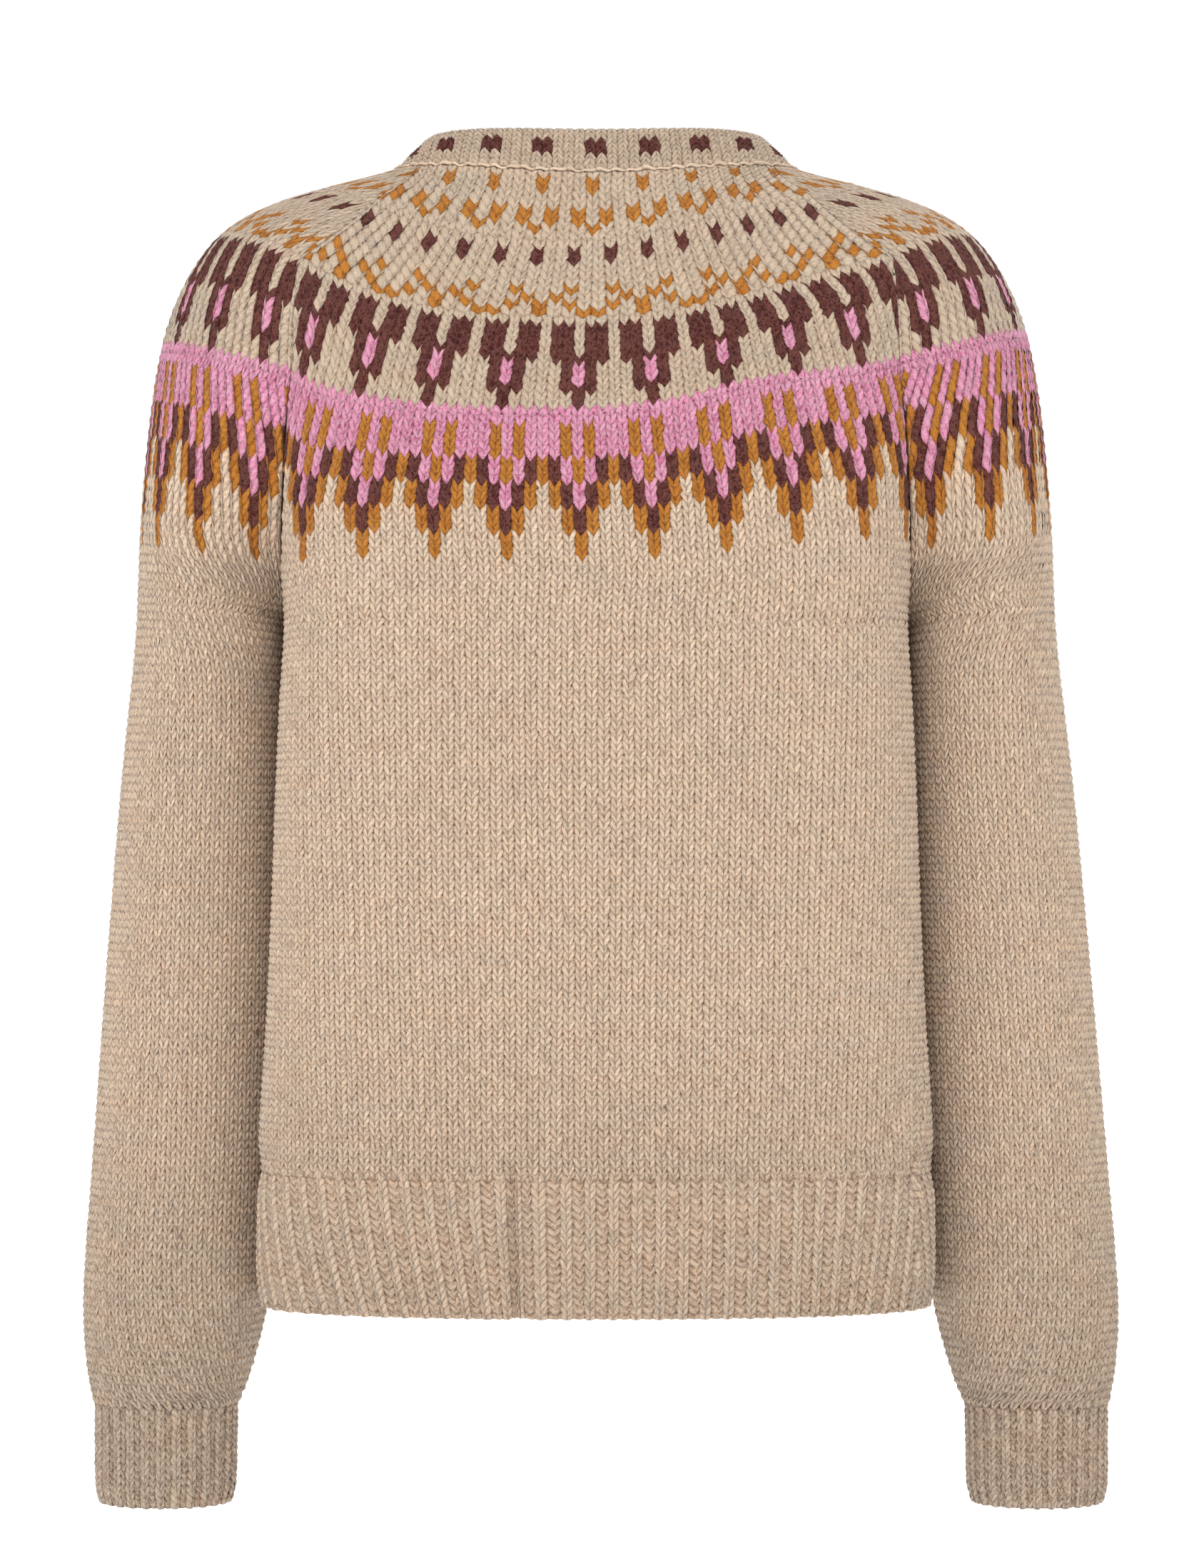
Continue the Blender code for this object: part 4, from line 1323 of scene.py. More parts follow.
def parts_of(tree, vector):
    """A vector's x, y and z."""
    node = tree.nodes.new("ShaderNodeSeparateXYZ")
    connect(tree, vector, node.inputs[0])
    return node.outputs


def bend(tree, height, depth, shader):
    """Bumps a shader's surface by this height, at most depth metres."""
    bump = tree.nodes.new("ShaderNodeBump")
    bump.inputs["Distance"].default_value = depth
    connect(tree, height, bump.inputs["Height"])
    connect(tree, bump.outputs["Normal"], shader.inputs["Normal"])


def new_material(name):
    """A material with its tree and its main shader."""
    material = bpy.data.materials.new(name)
    material.use_nodes = True
    return material, material.node_tree, material.node_tree.nodes["Principled BSDF"]


def new_group(name, inputs, outputs):
    """A shader node group with float or vector sockets, and its inner ends."""
    group = bpy.data.node_groups.new(name, "ShaderNodeTree")
    for label, kind, default in inputs:
        socket = group.interface.new_socket(label, in_out="INPUT", socket_type="NodeSocket" + kind)
        if default is not None:
            socket.default_value = default
    for label in outputs:
        group.interface.new_socket(label, in_out="OUTPUT", socket_type="NodeSocketFloat")
    given = group.nodes.new("NodeGroupInput").outputs
    results = group.nodes.new("NodeGroupOutput").inputs
    return group, given, results


def use_group(tree, group, **values):
    """Places a group in a tree, sets its inputs by name and returns its outputs."""
    node = tree.nodes.new("ShaderNodeGroup")
    node.node_tree = group
    for label, value in values.items():
        connect(tree, value, node.inputs[label])
    return node.outputs


print("node helpers ready")

# %% The shape of a stitch
stitch_shape, given, results = new_group(
    "stitch_shape", (("Stitch", "Vector", None), ("Knit_Share", "Float", 1.0)), ("Gap", "Height")
)
multiply = partial(calc, stitch_shape, "MULTIPLY")
add = partial(calc, stitch_shape, "ADD")
subtract = partial(calc, stitch_shape, "SUBTRACT")


def from_middle(place):
    """0 in the middle of a stretch from 0 to 1, and 1 at both its ends."""
    return multiply(calc(stitch_shape, "ABSOLUTE", subtract(place, 0.5)), 2.0)


split = parts_of(stitch_shape, given["Stitch"])
place = calc(stitch_shape, "FRACT", split["X"])
purl = calc(stitch_shape, "GREATER_THAN", place, given["Knit_Share"])
knit_place = calc(stitch_shape, "DIVIDE", place, given["Knit_Share"])
purl_place = subtract(place, given["Knit_Share"])
purl_place = calc(stitch_shape, "DIVIDE", purl_place, subtract(1.0001, given["Knit_Share"]))
# From the middle of a V, 0, to the valley beside it, 1, and how near that is to a leg's end.
along = from_middle(knit_place)
leg_end = from_middle(along)
purl_end = from_middle(purl_place)
side = from_middle(calc(stitch_shape, "FRACT", split["Y"]))
end = add(multiply(purl, purl_end), multiply(subtract(1.0, purl), leg_end))
end_fourth = calc(stitch_shape, "POWER", end, 4.0)
side_squared = multiply(side, side)
height = subtract(1.0, add(multiply(end_fourth, 0.75), multiply(side_squared, 0.95)))
# Little holes open in the valleys between the Vs, more than at the Vs' points.
valley = multiply(stepped(stitch_shape, along, 0.0, 1.0, 0.4, 0.8), end_fourth)
opening = add(valley, multiply(multiply(side_squared, side_squared), 0.75))
# Where this mask is high the yarn is darkened with painted shade.
connect(stitch_shape, stepped(stitch_shape, opening, 0.3, 1.4), results["Gap"])
connect(stitch_shape, height, results["Height"])
print(stitch_shape.name, "nodes:", len(stitch_shape.nodes))

# %% Twisted plies
twisted_ply, given, results = new_group(
    "twisted_ply",
    (("Stitch", "Vector", None), ("Plies", "Float", 2.0), ("Slant", "Float", 3.0)),
    ("Streak",),
)
multiply = partial(calc, twisted_ply, "MULTIPLY")
add = partial(calc, twisted_ply, "ADD")
split = parts_of(twisted_ply, given["Stitch"])
turns = add(multiply(split["X"], given["Slant"]), multiply(split["Y"], given["Plies"]))
turns = add(turns, multiply(noise_of(twisted_ply, given["Stitch"], 1.7, 1.0), 1.4))
wave = calc(twisted_ply, "SINE", multiply(turns, math.tau))
# The streak bumps the yarn and also brightens it as a painted highlight.
connect(twisted_ply, add(multiply(wave, 0.5), 0.5), results["Streak"])
print(twisted_ply.name, "nodes:", len(twisted_ply.nodes))

# %% Loose hairs
loose_hairs, given, results = new_group(
    "loose_hairs",
    (("Place", "Vector", None), ("Fineness", "Float", 0.03)),
    ("Hairs", "Grain"),
)
hairs = 0.0
for scale, stretch in ((230.0, (1.0, 1.0, 0.45)), (310.0, (0.5, 1.0, 1.0)), (270.0, (1.0, 0.6, 0.9))):
    turned = loose_hairs.nodes.new("ShaderNodeMapping")
    turned.inputs["Scale"].default_value = stretch
    turned.inputs["Rotation"].default_value = (scale, scale * 0.7, scale * 0.3)
    connect(loose_hairs, given["Place"], turned.inputs["Vector"])
    level = noise_of(loose_hairs, turned.outputs[0], scale, 1.5)
    away = calc(loose_hairs, "ABSOLUTE", calc(loose_hairs, "SUBTRACT", level, 0.5))
    hairs = calc(loose_hairs, "MAXIMUM", hairs, calc(loose_hairs, "LESS_THAN", away, given["Fineness"]))
connect(loose_hairs, hairs, results["Hairs"])
connect(loose_hairs, noise_of(loose_hairs, given["Place"], 1400.0, 3.0, 0.7), results["Grain"])
print(loose_hairs.name, "nodes:", len(loose_hairs.nodes))

# %% Uneven dye
heather, given, results = new_group(
    "heather", (("Stitch", "Vector", None),), ("Warm", "Grey", "Leg", "Row")
)
split = parts_of(heather, given["Stitch"])
multiply = partial(calc, heather, "MULTIPLY")
for label, length, height, shift in (("Warm", 0.15, 0.30, 3.0), ("Grey", 0.12, 0.26, 71.0)):
    spot = vector_of(heather, multiply(split["X"], length), multiply(split["Y"], height), shift)
    cloud = noise_of(heather, spot, 1.0, 3.0, 0.6)
    connect(heather, stepped(heather, cloud, 0.40, 0.72), results[label])
leg = calc(heather, "FLOOR", multiply(split["X"], 2.0))
speck = heather.nodes.new("ShaderNodeTexWhiteNoise")
speck.noise_dimensions = "2D"
connect(heather, vector_of(heather, leg, calc(heather, "FLOOR", split["Y"])), speck.inputs["Vector"])
connect(heather, speck.outputs["Value"], results["Leg"])
# The row number, read for the painted shade that darkens the lowest rows.
connect(heather, split["Y"], results["Row"])
print(heather.name, "nodes:", len(heather.nodes))


# %% Yarn materials
def srgb(red, green, blue):
    """A colour as seen on a screen, 0 to 255, made a linear colour for a shader."""
    shades = np.array((red, green, blue)) / 255
    linear = np.where(shades <= 0.04045, shades / 12.92, ((shades + 0.055) / 1.055) ** 2.4)
    return (*(float(x) for x in linear), 1.0)


GAP_SHADE = (0.45, 0.35, 0.28, 1.0)
HOLLOW_SHADE = (0.68, 0.61, 0.56, 1.0)
PLAIN = (1.0, 1.0, 1.0, 1.0)
# Painted shade darkens the lowest rows, at the cuffs and the hem, down to this share.
LOWEST_ROWS_PAINTED_SHADE = 0.68
# Each finish: name; main colour, warm and grey casts of the dye and the hairs' colour; how much
# the hairs show, the sheen of the fine fuzz and how deep the stitches' bump is in millimetres.
FINISHES = {
    "O": ("oatmeal", (206, 180, 153), (210, 175, 146), (196, 174, 154), (237, 217, 194), 0.26, 0.2, 1.0),
    "C": ("cream", (182, 161, 137), (184, 155, 130), (171, 153, 136), (210, 193, 173), 0.26, 0.2, 0.5),
    "M": ("mustard", (166, 102, 30), (155, 86, 18), (172, 113, 42), (204, 142, 66), 0.28, 0.08, 0.7),
    "B": ("brown", (77, 34, 31), (89, 41, 34), (67, 32, 33), (138, 92, 80), 0.28, 0.03, 0.5),
    "P": ("pink", (201, 121, 152), (211, 143, 169), (192, 108, 141), (229, 186, 202), 0.30, 0.15, 0.7),
}


def yarn_material(letter, knit_share, suffix="", shade=1.0, hollows=1.0):
    """The material of one yarn, knitted in stocking stitch or in rib. hollows is how strongly
    its hollows are shaded."""
    name, *shades, hairiness, sheen, depth = FINISHES[letter]
    main, warm, grey, hair = (srgb(*colour) for colour in shades)
    material, tree, shader = new_material(name + suffix)
    multiply = partial(calc, tree, "MULTIPLY")
    stitch = tree.nodes.new("ShaderNodeUVMap")
    stitch.uv_map = "stitch"
    place = tree.nodes.new("ShaderNodeTexCoord").outputs["Object"]
    relief = tree.nodes.new("ShaderNodeAttribute")
    relief.attribute_name = "relief"
    shape = use_group(tree, stitch_shape, Stitch=stitch.outputs[0], Knit_Share=knit_share)
    ply = use_group(tree, twisted_ply, Stitch=stitch.outputs[0])
    hairs = use_group(tree, loose_hairs, Place=place)
    dye = use_group(tree, heather, Stitch=stitch.outputs[0])
    colour = mixed(tree, multiply(dye["Warm"], 0.7), main, warm)
    colour = mixed(tree, multiply(dye["Grey"], 0.55), colour, grey)
    # Each effect dims or brightens the yarn as its value goes from low to high.
    light = shade
    for value, low, high, dim, bright in (
        (dye["Leg"], 0.0, 1.0, 0.90, 1.06),
        # Painted highlight and painted shade along the twist of the plies.
        (ply["Streak"], 0.0, 1.0, 0.88, 1.07),
        # Painted highlight on each leg's crest, painted shade at its ends and sides.
        (shape["Height"], -0.2, 0.9, 0.93, 1.06),
        (hairs["Grain"], 0.3, 0.7, 0.92, 1.07),
        # Painted shade, darker towards the lowest rows at the cuffs and the hem.
        (dye["Row"], -112.0, -50.0, LOWEST_ROWS_PAINTED_SHADE, 1.0),
    ):
        light = multiply(light, stepped(tree, value, low, high, dim, bright))
    lit = mixed(tree, 1.0, colour, vector_of(tree, light, light, light), "MULTIPLY")
    hollow = stepped(tree, relief.outputs["Fac"], 0.0, LINING_RELIEF, hollows, 0.0)
    lit = mixed(tree, 1.0, lit, mixed(tree, hollow, PLAIN, HOLLOW_SHADE), "MULTIPLY")
    lit = mixed(tree, shape["Gap"], lit, mixed(tree, 1.0, lit, GAP_SHADE, "MULTIPLY"))
    lit = mixed(tree, multiply(hairs["Hairs"], hairiness), lit, hair)
    connect(tree, lit, shader.inputs["Base Color"])
    height = calc(tree, "ADD", shape["Height"], multiply(ply["Streak"], 0.22))
    bend(tree, calc(tree, "ADD", height, multiply(hairs["Grain"], 0.25)), depth * MM, shader)
    shader.inputs["Roughness"].default_value = 0.92
    shader.inputs["Specular IOR Level"].default_value = 0.2
    shader.inputs["Sheen Weight"].default_value = sheen
    shader.inputs["Sheen Roughness"].default_value = 0.6
    return material


yarn_materials = [yarn_material(letter, 1.0) for letter in YARNS]
hem_materials = [yarn_material("O", HEM_KNIT_SHARE, "_hem_rib", 1.05, 0.85)]
cuff_materials = [yarn_material("O", CUFF_KNIT_SHARE, "_cuff_rib", 0.97, 0.9)]
print("yarns:", ", ".join(m.name for m in yarn_materials + hem_materials + cuff_materials))

# %% [markdown]
# ## Knitting the pieces
#
# Each maker's piece is knitted on its own panel and takes the place of its packed wall. The
# body and the sleeves are plain below and patterned in the yoke, where stitches are taken off
# three times so that the yoke closes in towards the neck: once inside the pink band, once
# above the leaves and once above the zigzag. A block of rows keeps its stitch count, and a
# narrow strip joins it to the next block, whose stitches are fewer.

# %% Stitch widths and charts
FIRST_DECREASE = 17
SECOND_DECREASE = 29.5
THIRD_DECREASE = 40


def by_count(panel, stitches):
    """A stitch width that keeps the same number of stitches across the panel at every row."""
    def width(row):
        low, high = panel.limits(row)
        return (high - low) / MM / stitches
    return width


def yoke_chart(**phases):
    """The yoke's chart with its bands shifted sideways by these numbers of stitches."""
    return lambda stitches, rows: charted(stitches, rows, phases)


MARK_ROWS = (52, 55)
MARK_REPEAT = 5


def neckband_chart(stitches, rows):
    """Cream with a row of small brown marks, two stitches wide."""
    marked = (rows >= MARK_ROWS[0]) & (rows < MARK_ROWS[1]) & (stitches % MARK_REPEAT < 2)
    return np.where(marked, YARNS.index("B"), YARNS.index("C"))


print("a mark every", MARK_REPEAT, "stitches")

# %% Finishing a piece
cuts = {}


def finish_piece(name, knitting, materials):
    """Makes the mesh, puts it in its packed wall's place and records the cut of its cloth."""
    piece = make_piece(name + "_knit", knitting, materials)
    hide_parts(name)
    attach(piece, "root")
    width, length, area = knitting.panel.flat_cut(knitting.first, knitting.last)
    cuts[name] = (width, length, area)


# How much of their lean the legs keep where two blocks of rows meet and at a ribbed edge; how
# far a panel's foot stands out over its rib in mm; and by how many rows pieces overlap.
JOINT_LEAN = 0.55
EDGE_LEAN = 0.15
FOOT_LIFT = 0.6
OVERLAP_ROWS = 0.5


def knit_large_piece(name, foot, widths, middles, chart, lining_width, drift=None):
    """A body panel or a sleeve: four blocks of rows with fewer stitches each time."""
    knitting = Knitting(panels[name], foot, NECK_ROW)
    stops = (FIRST_DECREASE, SECOND_DECREASE, THIRD_DECREASE, NECK_ROW)
    starts = (foot, *(stop + OVERLAP_ROWS for stop in stops[:3]))
    leans = (1.0, JOINT_LEAN, JOINT_LEAN, JOINT_LEAN, 0.0)
    lift = along_rows((foot, FOOT_LIFT), (foot + 5, 0.0))
    plans = zip(starts, stops, widths, middles, zip(leans, leans[1:]))
    blocks = [
        knit_rows(knitting, start, stop, STOCKING, width, middle, chart, drift, ends, lift)
        for start, stop, width, middle, ends in plans
    ]
    runs = joined_blocks(knitting, blocks, [YARNS.index(letter) for letter in "PCC"])
    line_knitting(knitting, runs, lining_width, YARNS.index("O"), chart)
    finish_piece(name, knitting, yarn_materials)


print("blocks of rows end at rows", FIRST_DECREASE, SECOND_DECREASE, THIRD_DECREASE, NECK_ROW)

# %% The back
BODY_WIDTH = along_rows((-98, 5.55), (-80, 5.6), (-40, 5.8), (0, 5.93), (6, 5.9), (17, 5.42))
LEAF_WIDTH = along_rows((17, 6.15), (29, 5.42))
BODY_LINING = 5.8
BODY_FOOT = RIB_TOP_ROW - OVERLAP_ROWS
# The armholes draw wales outwards by up to ARMHOLE_PULL, over a stretch beside the seams.
ARMHOLE_PULL = 5.5 * MM
PULL_START = 90 * MM
PULL_STRETCH = 70 * MM
PULL_SHARE = along_rows((-45, 0.0), (0, 1.0), (6, 0.8), (15, 0.0))


def spread_beside_seams(distance, rows):
    """The armholes draw the wales of the pattern's first rows outwards."""
    away = smooth(np.clip((np.abs(distance) - PULL_START) / PULL_STRETCH, 0, 1))
    return np.sign(distance) * ARMHOLE_PULL * away * PULL_SHARE(rows)


knit_large_piece(
    "back",
    BODY_FOOT,
    (BODY_WIDTH, LEAF_WIDTH, by_count(panels["back"], 41.6), by_count(panels["back"], 32.4)),
    (
        along_rows((0, -7.6), (16, -9.2)),
        along_rows((18, -8.8), (28, -7.4)),
        along_rows((30, 1.6)),
        along_rows((41, -1.5)),
    ),
    yoke_chart(dots=1, zigzag=3),
    BODY_LINING,
    spread_beside_seams,
)

# %% The fronts
for side, turn in (("left", 1), ("right", -1)):
    panel = panels["front_" + side]
    knit_large_piece(
        "front_" + side,
        BODY_FOOT,
        (BODY_WIDTH, LEAF_WIDTH, by_count(panel, 18.6), by_count(panel, 14.0)),
        (along_rows((0, 34.0 * turn)),) * 4,
        yoke_chart(),
        BODY_LINING,
    )

# %% The sleeves
SLEEVE_WIDTHS = {
    "left": along_rows((-104, 5.15), (-60, 5.0), (-8, 4.8), (6, 4.8), (17, 4.6)),
    "right": along_rows((-104, 5.15), (-60, 5.0), (6, 5.1), (17, 4.6)),
}
LEAF_WIDTHS = {"left": along_rows((17, 5.15), (29, 5.1)), "right": along_rows((17, 5.6), (29, 5.4))}
UPPER_WIDTHS = (along_rows((30, 6.0), (40, 5.5)), along_rows((40, 5.9), (49, 5.4)))
SLEEVE_LINING = 5.0
SLEEVE_MIDDLES = {
    "left": (
        along_rows((-14, 15.4), (0, 13.0), (7, 5.0), (16, -7.5)),
        along_rows((18, -14.6), (22, -23.0), (29, -33.5)),
    ),
    "right": (
        along_rows((-14, -10.5), (0, -8.5), (7, -2.0), (16, 11.3)),
        along_rows((18, 25.7), (22, 32.5), (29, 36.8)),
    ),
}
for side in ("left", "right"):
    knit_large_piece(
        "sleeve_" + side,
        sleeve_foot,
        (SLEEVE_WIDTHS[side], LEAF_WIDTHS[side], *UPPER_WIDTHS),
        (*SLEEVE_MIDDLES[side], NOTHING, NOTHING),
        yoke_chart(),
        SLEEVE_LINING,
    )

# %% Hem ribs
# How far the ribs lean sideways over the rib's whole height, at distances from the middle.
HEM_LEAN = {
    "hem_rib_back": ((-150, 12), (-140, 12), (-70, 7), (-40, 1), (0, 0), (100, 0), (150, -6)),
    "hem_rib_front_left": ((20, 0), (90, 2), (150, -6)),
    "hem_rib_front_right": ((-150, 5), (-90, -2), (-20, 0)),
}
RIB_WIDTH = along_rows((-98, 11.2), (-80, 11.4))
RIB_TUCK = along_rows((RIB_TOP_ROW - 2.5, 0.0), (RIB_TOP_ROW, -0.4))
# The lean grows faster towards the hem: this share of it is even.
EVEN_LEAN = 0.4
# The pinch at the back: its distance from the middle and its half width in mm, and its pull.
PINCH_PLACE = -39.0
PINCH_WIDTH = 12.0
PINCH_PULL = 0.5


def leaning(name):
    """A sideways drift for a hem rib: nothing at its top, full at its foot, less at the pinch."""
    places, leans = zip(*HEM_LEAN[name])

    def drift(distance, rows):
        share = (RIB_TOP_ROW - rows) / (RIB_TOP_ROW - HEM_ROW)
        share = share * (EVEN_LEAN + (1 - EVEN_LEAN) * share)
        lean = np.interp(distance / MM, places, leans) * share
        off = distance / MM - PINCH_PLACE
        pull = PINCH_PULL if name == "hem_rib_back" else 0.0
        return (lean - pull * off * np.exp(-((off / PINCH_WIDTH) ** 2))) * MM
    return drift


for name in HEM_LEAN:
    panel_name = name.removeprefix("hem_rib_")
    knitting = Knitting(panels[panel_name], HEM_ROW, RIB_TOP_ROW)
    knit_rows(knitting, HEM_ROW - OVERLAP_ROWS, RIB_TOP_ROW, HEM_RIB, RIB_WIDTH, drift=leaning(name),
              ends=(EDGE_LEAN, 0.0), lift=RIB_TUCK)
    copy_to_inside(knitting, 0)
    finish_piece(name, knitting, hem_materials)

# %% Neckband
MARKS_MIDDLE = along_rows((49, -2.7))
NECK_WIDTH = along_rows((49, 5.5), (57, 5.2))
knitting = Knitting(panels["neckband"], NECK_ROW, TOP_ROW)
knit_rows(knitting, NECK_ROW, TOP_ROW, TURNED_STOCKING, NECK_WIDTH, MARKS_MIDDLE, neckband_chart,
          ends=(0.0, EDGE_LEAN))
copy_to_inside(knitting, YARNS.index("C"))
finish_piece("neckband", knitting, yarn_materials)

# %% The thread that sews the neckband on
# The thread dips into the seam at every stitch and rises between, and its path and thickness
# are a little uneven. How far it lies above the panel is in mm, and how far it strays in rows.
THREAD_LOW = 0.15
THREAD_RISE = 0.55
THREAD_PLACE = NECK_ROW + 0.02
THREAD_STRAY = 0.1
THREAD_SWING = 0.12
UNEVEN_THICKNESS = 0.14
THREAD_RELIEF = 0.9
THREAD_STITCH = 7.5 * MM
THREAD_RADIUS = 0.75 * MM
THREAD_STEP = 1.2 * MM
THREAD_SIDES = 8
neck = panels["neckband"]
low, high = neck.limits(NECK_ROW)
steps = int((high - low - 4 * THREAD_RADIUS) / THREAD_STEP)
distance = np.linspace(low + 2 * THREAD_RADIUS, high - 2 * THREAD_RADIUS, steps + 1)
turn = distance / THREAD_STITCH
uneven = np.sin(turn * 2.3 + 0.4) + np.sin(turn * 3.7 + 1.9)
row = THREAD_PLACE + THREAD_STRAY * uneven + THREAD_SWING * np.sin(turn * math.tau)
lift = (THREAD_LOW + THREAD_RISE * np.abs(np.sin(turn * math.pi)) ** 0.7) * MM
path = neck.place(row, distance, lift)
facing = neck.outward(row, distance)
heading = unit(np.gradient(path, axis=0))
beside = unit(np.cross(facing, heading))
from_end = np.minimum(np.arange(steps + 1), np.arange(steps, -1, -1))
thick = THREAD_RADIUS * (1 + UNEVEN_THICKNESS * uneven) * np.minimum(1, 0.3 + from_end * 0.35)
sides = np.arange(THREAD_SIDES)
around = sides[:, None] * math.tau / THREAD_SIDES
ring = np.cos(around) * beside[:, None] + np.sin(around) * facing[:, None]
tube = (path[:, None] + ring * thick[:, None, None]).reshape(-1, 3)
first_corners = np.arange(steps)[:, None] * THREAD_SIDES
a = (first_corners + sides).ravel()
b = (first_corners + np.roll(sides, -1)).ravel()
faces = np.stack((a, b, b + THREAD_SIDES, a + THREAD_SIDES), -1).tolist()
faces += [sides[::-1].tolist(), (sides + steps * THREAD_SIDES).tolist()]
mesh = bpy.data.meshes.new("neck_seam_thread")
mesh.from_pydata(tube.tolist(), [], faces)
in_stitch = np.repeat(np.floor(turn) + 0.25, THREAD_SIDES)
places = np.stack((in_stitch, np.full(len(tube), NECK_ROW + 0.5)), -1)
corners = np.array([loop.vertex_index for loop in mesh.loops])
add_layers(mesh, np.full(len(tube), THREAD_RELIEF), stitch=places[corners])
mesh.materials.append(yarn_material("C", 1.0, "_thread", 1.3))
mesh.shade_smooth()
thread = add_object("neck_seam_thread", mesh)
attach(thread, "root")
print("seam thread:", steps, "steps of", round(THREAD_STEP / MM, 1), "mm")


# %% Bands down the front
BUTTON_ROWS = np.linspace(52, -93, 7)
HOLE_HALF_WIDTH = 1.9 * MM
HOLE_HALF_ROWS = 1.6
BAND_RIB_WIDTH = along_rows((0, 10.6))


def cut_buttonholes(knitting):
    """Takes out the faces that lie where the buttonholes go."""
    row, distance, _ = knitting.all("spot").T
    kept = []
    for corners, yarns, stitch in knitting.faces:
        off = np.abs(row[corners].mean(axis=1)[:, None] - BUTTON_ROWS).min(axis=1)
        aside = np.abs(distance[corners].mean(axis=1))
        inside = (off < HOLE_HALF_ROWS) & (aside < HOLE_HALF_WIDTH)
        kept.append((corners[~inside], yarns[~inside], stitch))
    knitting.faces = kept


for name in ("button_band_left", "buttonhole_band_right"):
    knitting = Knitting(panels[name], HEM_ROW, TOP_ROW)
    knit_rows(knitting, HEM_ROW - OVERLAP_ROWS, TOP_ROW, HEM_RIB, BAND_RIB_WIDTH, ends=(EDGE_LEAN,) * 2)
    if name == "buttonhole_band_right":
        cut_buttonholes(knitting)
    copy_to_inside(knitting, 0)
    finish_piece(name, knitting, hem_materials)

# %% Cuffs
CUFF_RIBS = 27
CUFF_TUCK = along_rows((sleeve_foot - 2.5, 0.0), (sleeve_foot, -0.4))
for side in ("left", "right"):
    name = "cuff_" + side
    knitting = Knitting(panels[name], cuff_foot, sleeve_foot)
    knit_rows(knitting, cuff_foot, sleeve_foot, CUFF_RIB, by_count(panels[name], CUFF_RIBS),
              ends=(EDGE_LEAN, 0.0), lift=CUFF_TUCK)
    copy_to_inside(knitting, 0)
    finish_piece(name, knitting, cuff_materials)

for name, cut in cuts.items():
    print("cut of %s: %.3f x %.3f m, %.4f m2" % (name, *cut))

# %% [markdown]
# ## Buttons
#
# Seven small wooden buttons with shanks close the front. A button is turned on a lathe: a
# round blank with a softened rim, a dished face and a narrow stem below that passes through
# the buttonhole. It could be a spun profile, but a cylinder that is inset, sunk and bevelled
# by hand follows the same steps as the lathe. One button is modelled and then copied, each
# copy set on the band with its own mesh.

# %% One button
BUTTON_RADIUS = 9.0 * MM
BUTTON_THICKNESS = 3.4 * MM
BUTTON_CLEARANCE = 0.6 * MM
SHANK_RADIUS = 1.4 * MM
RIB_RELIEF = 1.0 * MM
SOFT_RIM = 0.7 * MM
SHANK_PLATE = 3.0 * MM
SHANK_LENGTH = 5.5 * MM
# How far each turned ring lies inside the one before, and how deep it is cut, in mm.
DISH = ((1.5, 0.0), (0.7, 0.7), (2.4, 0.3), (2.2, 0.1))


def select_faces(mesh, wanted):
    """Selects only the faces that this test accepts, in edit mode."""
    bpy.ops.object.mode_set(mode="EDIT")
    bpy.ops.mesh.select_mode(type="FACE")
    bpy.ops.mesh.select_all(action="DESELECT")
    bpy.ops.object.mode_set(mode="OBJECT")
    for face in mesh.polygons:
        face.select = wanted(face)
    bpy.ops.object.mode_set(mode="EDIT")


bpy.ops.object.select_all(action="DESELECT")
bpy.ops.mesh.primitive_cylinder_add(
    vertices=48, radius=BUTTON_RADIUS, depth=BUTTON_THICKNESS, end_fill_type="NGON"
)
button = bpy.context.object
button.name = "turned_button"
select_faces(button.data, lambda face: face.normal.z > 0.9)
for step, depth in DISH:
    bpy.ops.mesh.inset(thickness=step * MM, depth=-depth * MM)
select_faces(button.data, lambda face: face.normal.z < -0.9)
bpy.ops.mesh.inset(thickness=SHANK_PLATE, depth=0.0)
bpy.ops.mesh.inset(thickness=BUTTON_RADIUS - SHANK_PLATE - SHANK_RADIUS, depth=0.0)
bpy.ops.mesh.extrude_region_move(TRANSFORM_OT_translate={"value": (0, 0, -SHANK_LENGTH)})
bpy.ops.object.mode_set(mode="OBJECT")
bevel = button.modifiers.new("soft_rim", "BEVEL")
bevel.width = SOFT_RIM
bevel.segments = 3
bevel.limit_method = "ANGLE"
bevel.angle_limit = math.radians(50)
bpy.ops.object.modifier_apply(modifier="soft_rim")
bpy.ops.object.shade_smooth_by_angle(angle=math.radians(40))
print("a button has", len(button.data.polygons), "faces")

# %% Turned wood
turned_wood, tree, shader = new_material("turned_wood")
place = tree.nodes.new("ShaderNodeTexCoord").outputs["Object"]
wavy = tree.nodes.new("ShaderNodeMapping")
wavy.inputs["Rotation"].default_value = (0.35, 0.2, 0.5)
wavy.inputs["Scale"].default_value = (1.0, 0.35, 0.25)
connect(tree, place, wavy.inputs["Vector"])
rings = calc(tree, "MULTIPLY", noise_of(tree, wavy.outputs[0], 210.0, 2.0, 0.5), 26.0)
grain = stepped(tree, calc(tree, "SINE", rings), -1.0, 1.0)
pores = noise_of(tree, wavy.outputs[0], 2600.0, 2.0, 0.6)
wood = mixed(tree, grain, srgb(112, 74, 46), srgb(158, 112, 72))
wood = mixed(tree, stepped(tree, pores, 0.58, 0.72), wood, srgb(74, 46, 30))
connect(tree, wood, shader.inputs["Base Color"])
connect(tree, stepped(tree, pores, 0.3, 0.7, 0.38, 0.55), shader.inputs["Roughness"])
bend(tree, calc(tree, "SUBTRACT", grain, pores), 0.08 * MM, shader)
button.data.materials.append(turned_wood)
print("wood for the buttons:", turned_wood.name)

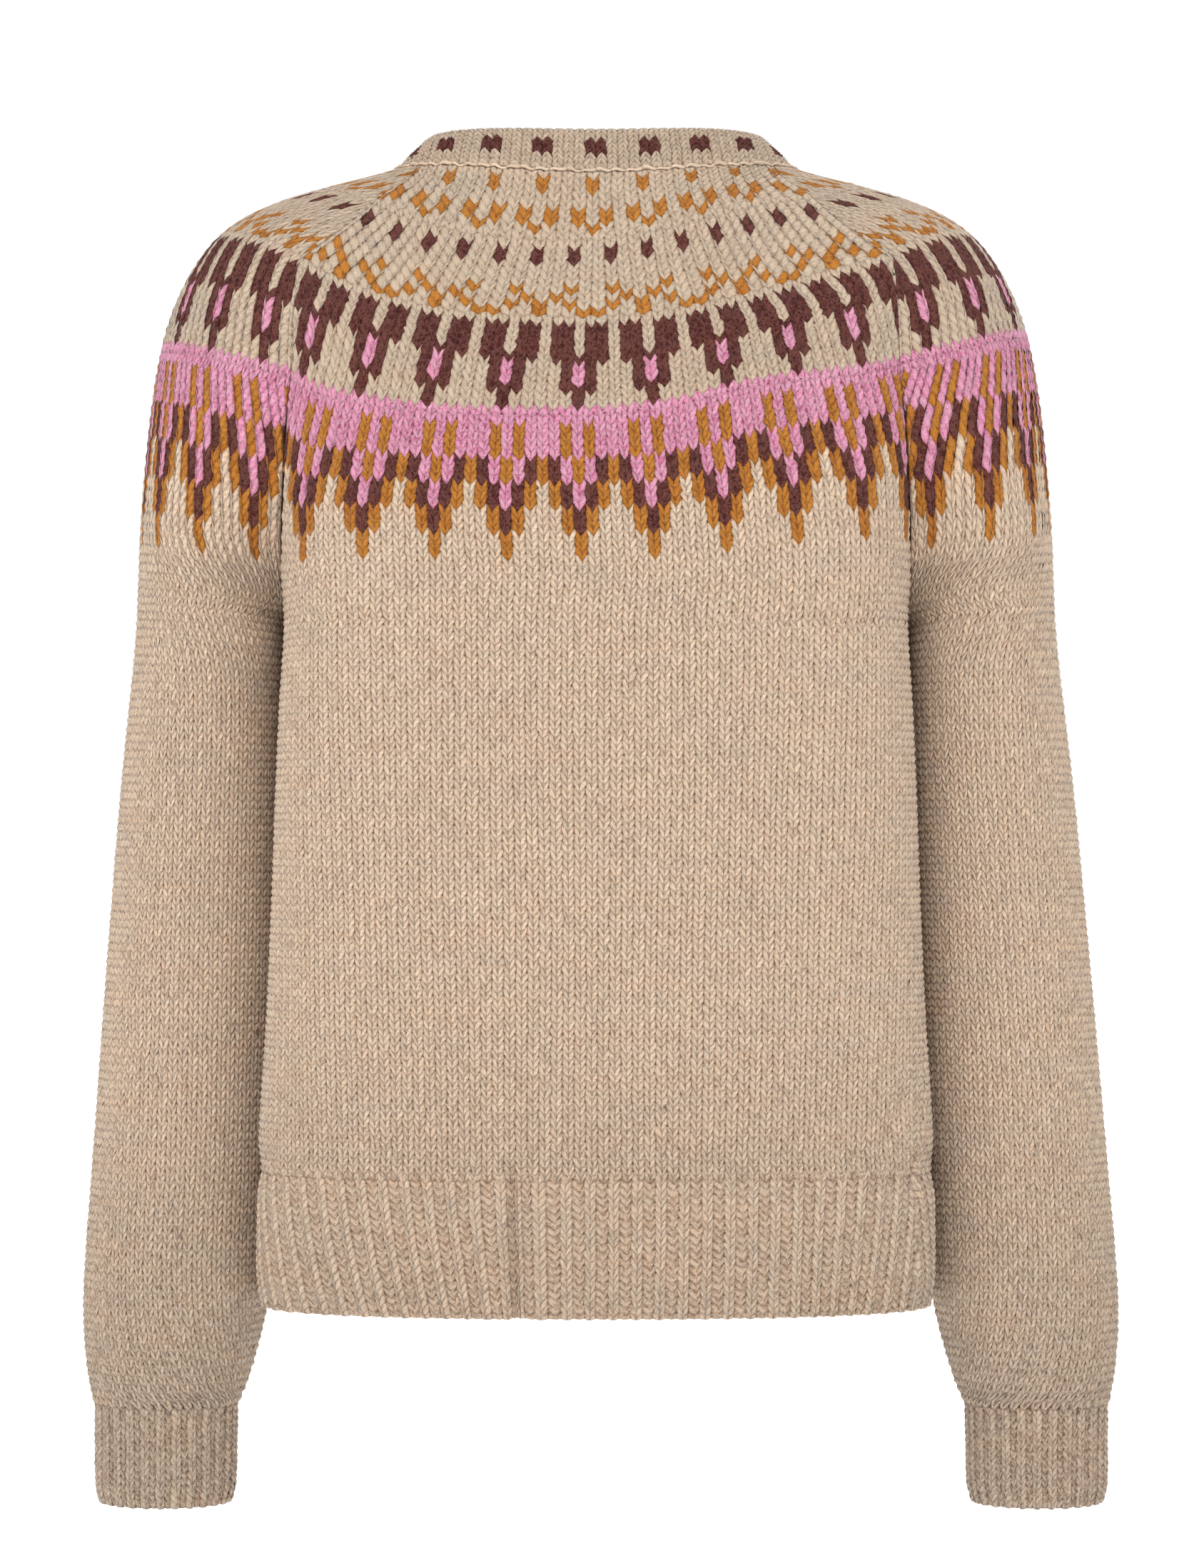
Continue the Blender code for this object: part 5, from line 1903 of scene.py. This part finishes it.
# %% Setting the buttons on the band
lift = OVERLAP_LIFT + (BUTTON_CLEARANCE + RIB_RELIEF + BUTTON_THICKNESS / 2) / MM
for number, row in enumerate(BUTTON_ROWS, start=1):
    middle, outward = band_frame(row)
    copy = add_object("button_%d_turned" % number, button.data.copy())
    bpy.ops.object.select_all(action="DESELECT")
    copy.select_set(True)
    bpy.context.view_layer.objects.active = copy
    copy.location = (middle + outward * lift) * MM
    copy.rotation_euler = outward.to_track_quat("Z", "Y").to_euler()
    bpy.ops.object.transform_apply(location=True, rotation=True, scale=True)
    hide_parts("button_%d" % number)
    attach(copy, "root")
bpy.data.objects.remove(button, do_unlink=True)
print("buttons at rows", [round(float(row), 1) for row in BUTTON_ROWS])

# %% [markdown]
# ## Stage, light and camera
#
# The garment floats over a wide pale floor, lit softly from all round, and the camera looks
# level at its back.

# %% Floor
FLOOR_DROP = 0.06
FLOOR_SIZE = 40.0
low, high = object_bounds()
bpy.ops.object.select_all(action="DESELECT")
bpy.ops.mesh.primitive_plane_add(size=FLOOR_SIZE, location=(0.0, 0.0, low.z - FLOOR_DROP))
floor = bpy.context.object
floor.name = "floor"
material, _, shader = new_material("pale_floor")
shader.inputs["Base Color"].default_value = (0.9, 0.9, 0.9, 1.0)
shader.inputs["Roughness"].default_value = 0.9
shader.inputs["Emission Color"].default_value = (1.0, 1.0, 1.0, 1.0)
shader.inputs["Emission Strength"].default_value = 0.5
floor.data.materials.append(material)
print("floor at", round(low.z - FLOOR_DROP, 3))

# %% World and lamps
SKY_LIGHT = 0.46
BACKDROP = 1.0
scene = bpy.context.scene
scene.view_settings.view_transform = "Standard"
world = bpy.data.worlds.new("soft_studio")
scene.world = world
world.use_nodes = True
sky = world.node_tree
sky_colour = sky.nodes["Background"].inputs["Color"]
eye = sky.nodes.new("ShaderNodeLightPath").outputs["Is Camera Ray"]
connect(sky, mixed(sky, eye, (SKY_LIGHT,) * 3 + (1.0,), (BACKDROP,) * 3 + (1.0,)), sky_colour)


def add_sun(name, comes_from, strength, softness):
    """A soft sun, which lights the floor as evenly as the cloth."""
    lamp = bpy.data.lights.new(name, "SUN")
    lamp.energy = strength
    lamp.angle = math.radians(softness)
    sun = add_object(name, lamp)
    sun.rotation_euler = Vector(comes_from).to_track_quat("Z", "Y").to_euler()


add_sun("key", (0.22, 0.9, 1.15), 2.05, 30.0)
add_sun("behind", (-0.3, 1.0, 0.1), 0.42, 50.0)
add_sun("fill", (-0.6, -1.0, 0.9), 1.0, 50.0)
print("suns:", ", ".join(light.name for light in bpy.data.lights))

# %% Camera
CAMERA_DISTANCE = 2.6
CAMERA_ASIDE = -0.0018
CAMERA_HEIGHT = -0.309
SENSOR = 36.0
FRAME_HEIGHT = 0.7909
camera_data = bpy.data.cameras.new("camera")
camera_data.sensor_width = SENSOR
camera_data.lens = SENSOR * CAMERA_DISTANCE / FRAME_HEIGHT
camera = add_object("camera", camera_data)
camera.location = (CAMERA_ASIDE, CAMERA_DISTANCE, CAMERA_HEIGHT)
camera.rotation_euler = (math.radians(90), 0.0, math.radians(180))
scene.camera = camera
print("lens: %.1f mm" % camera_data.lens)
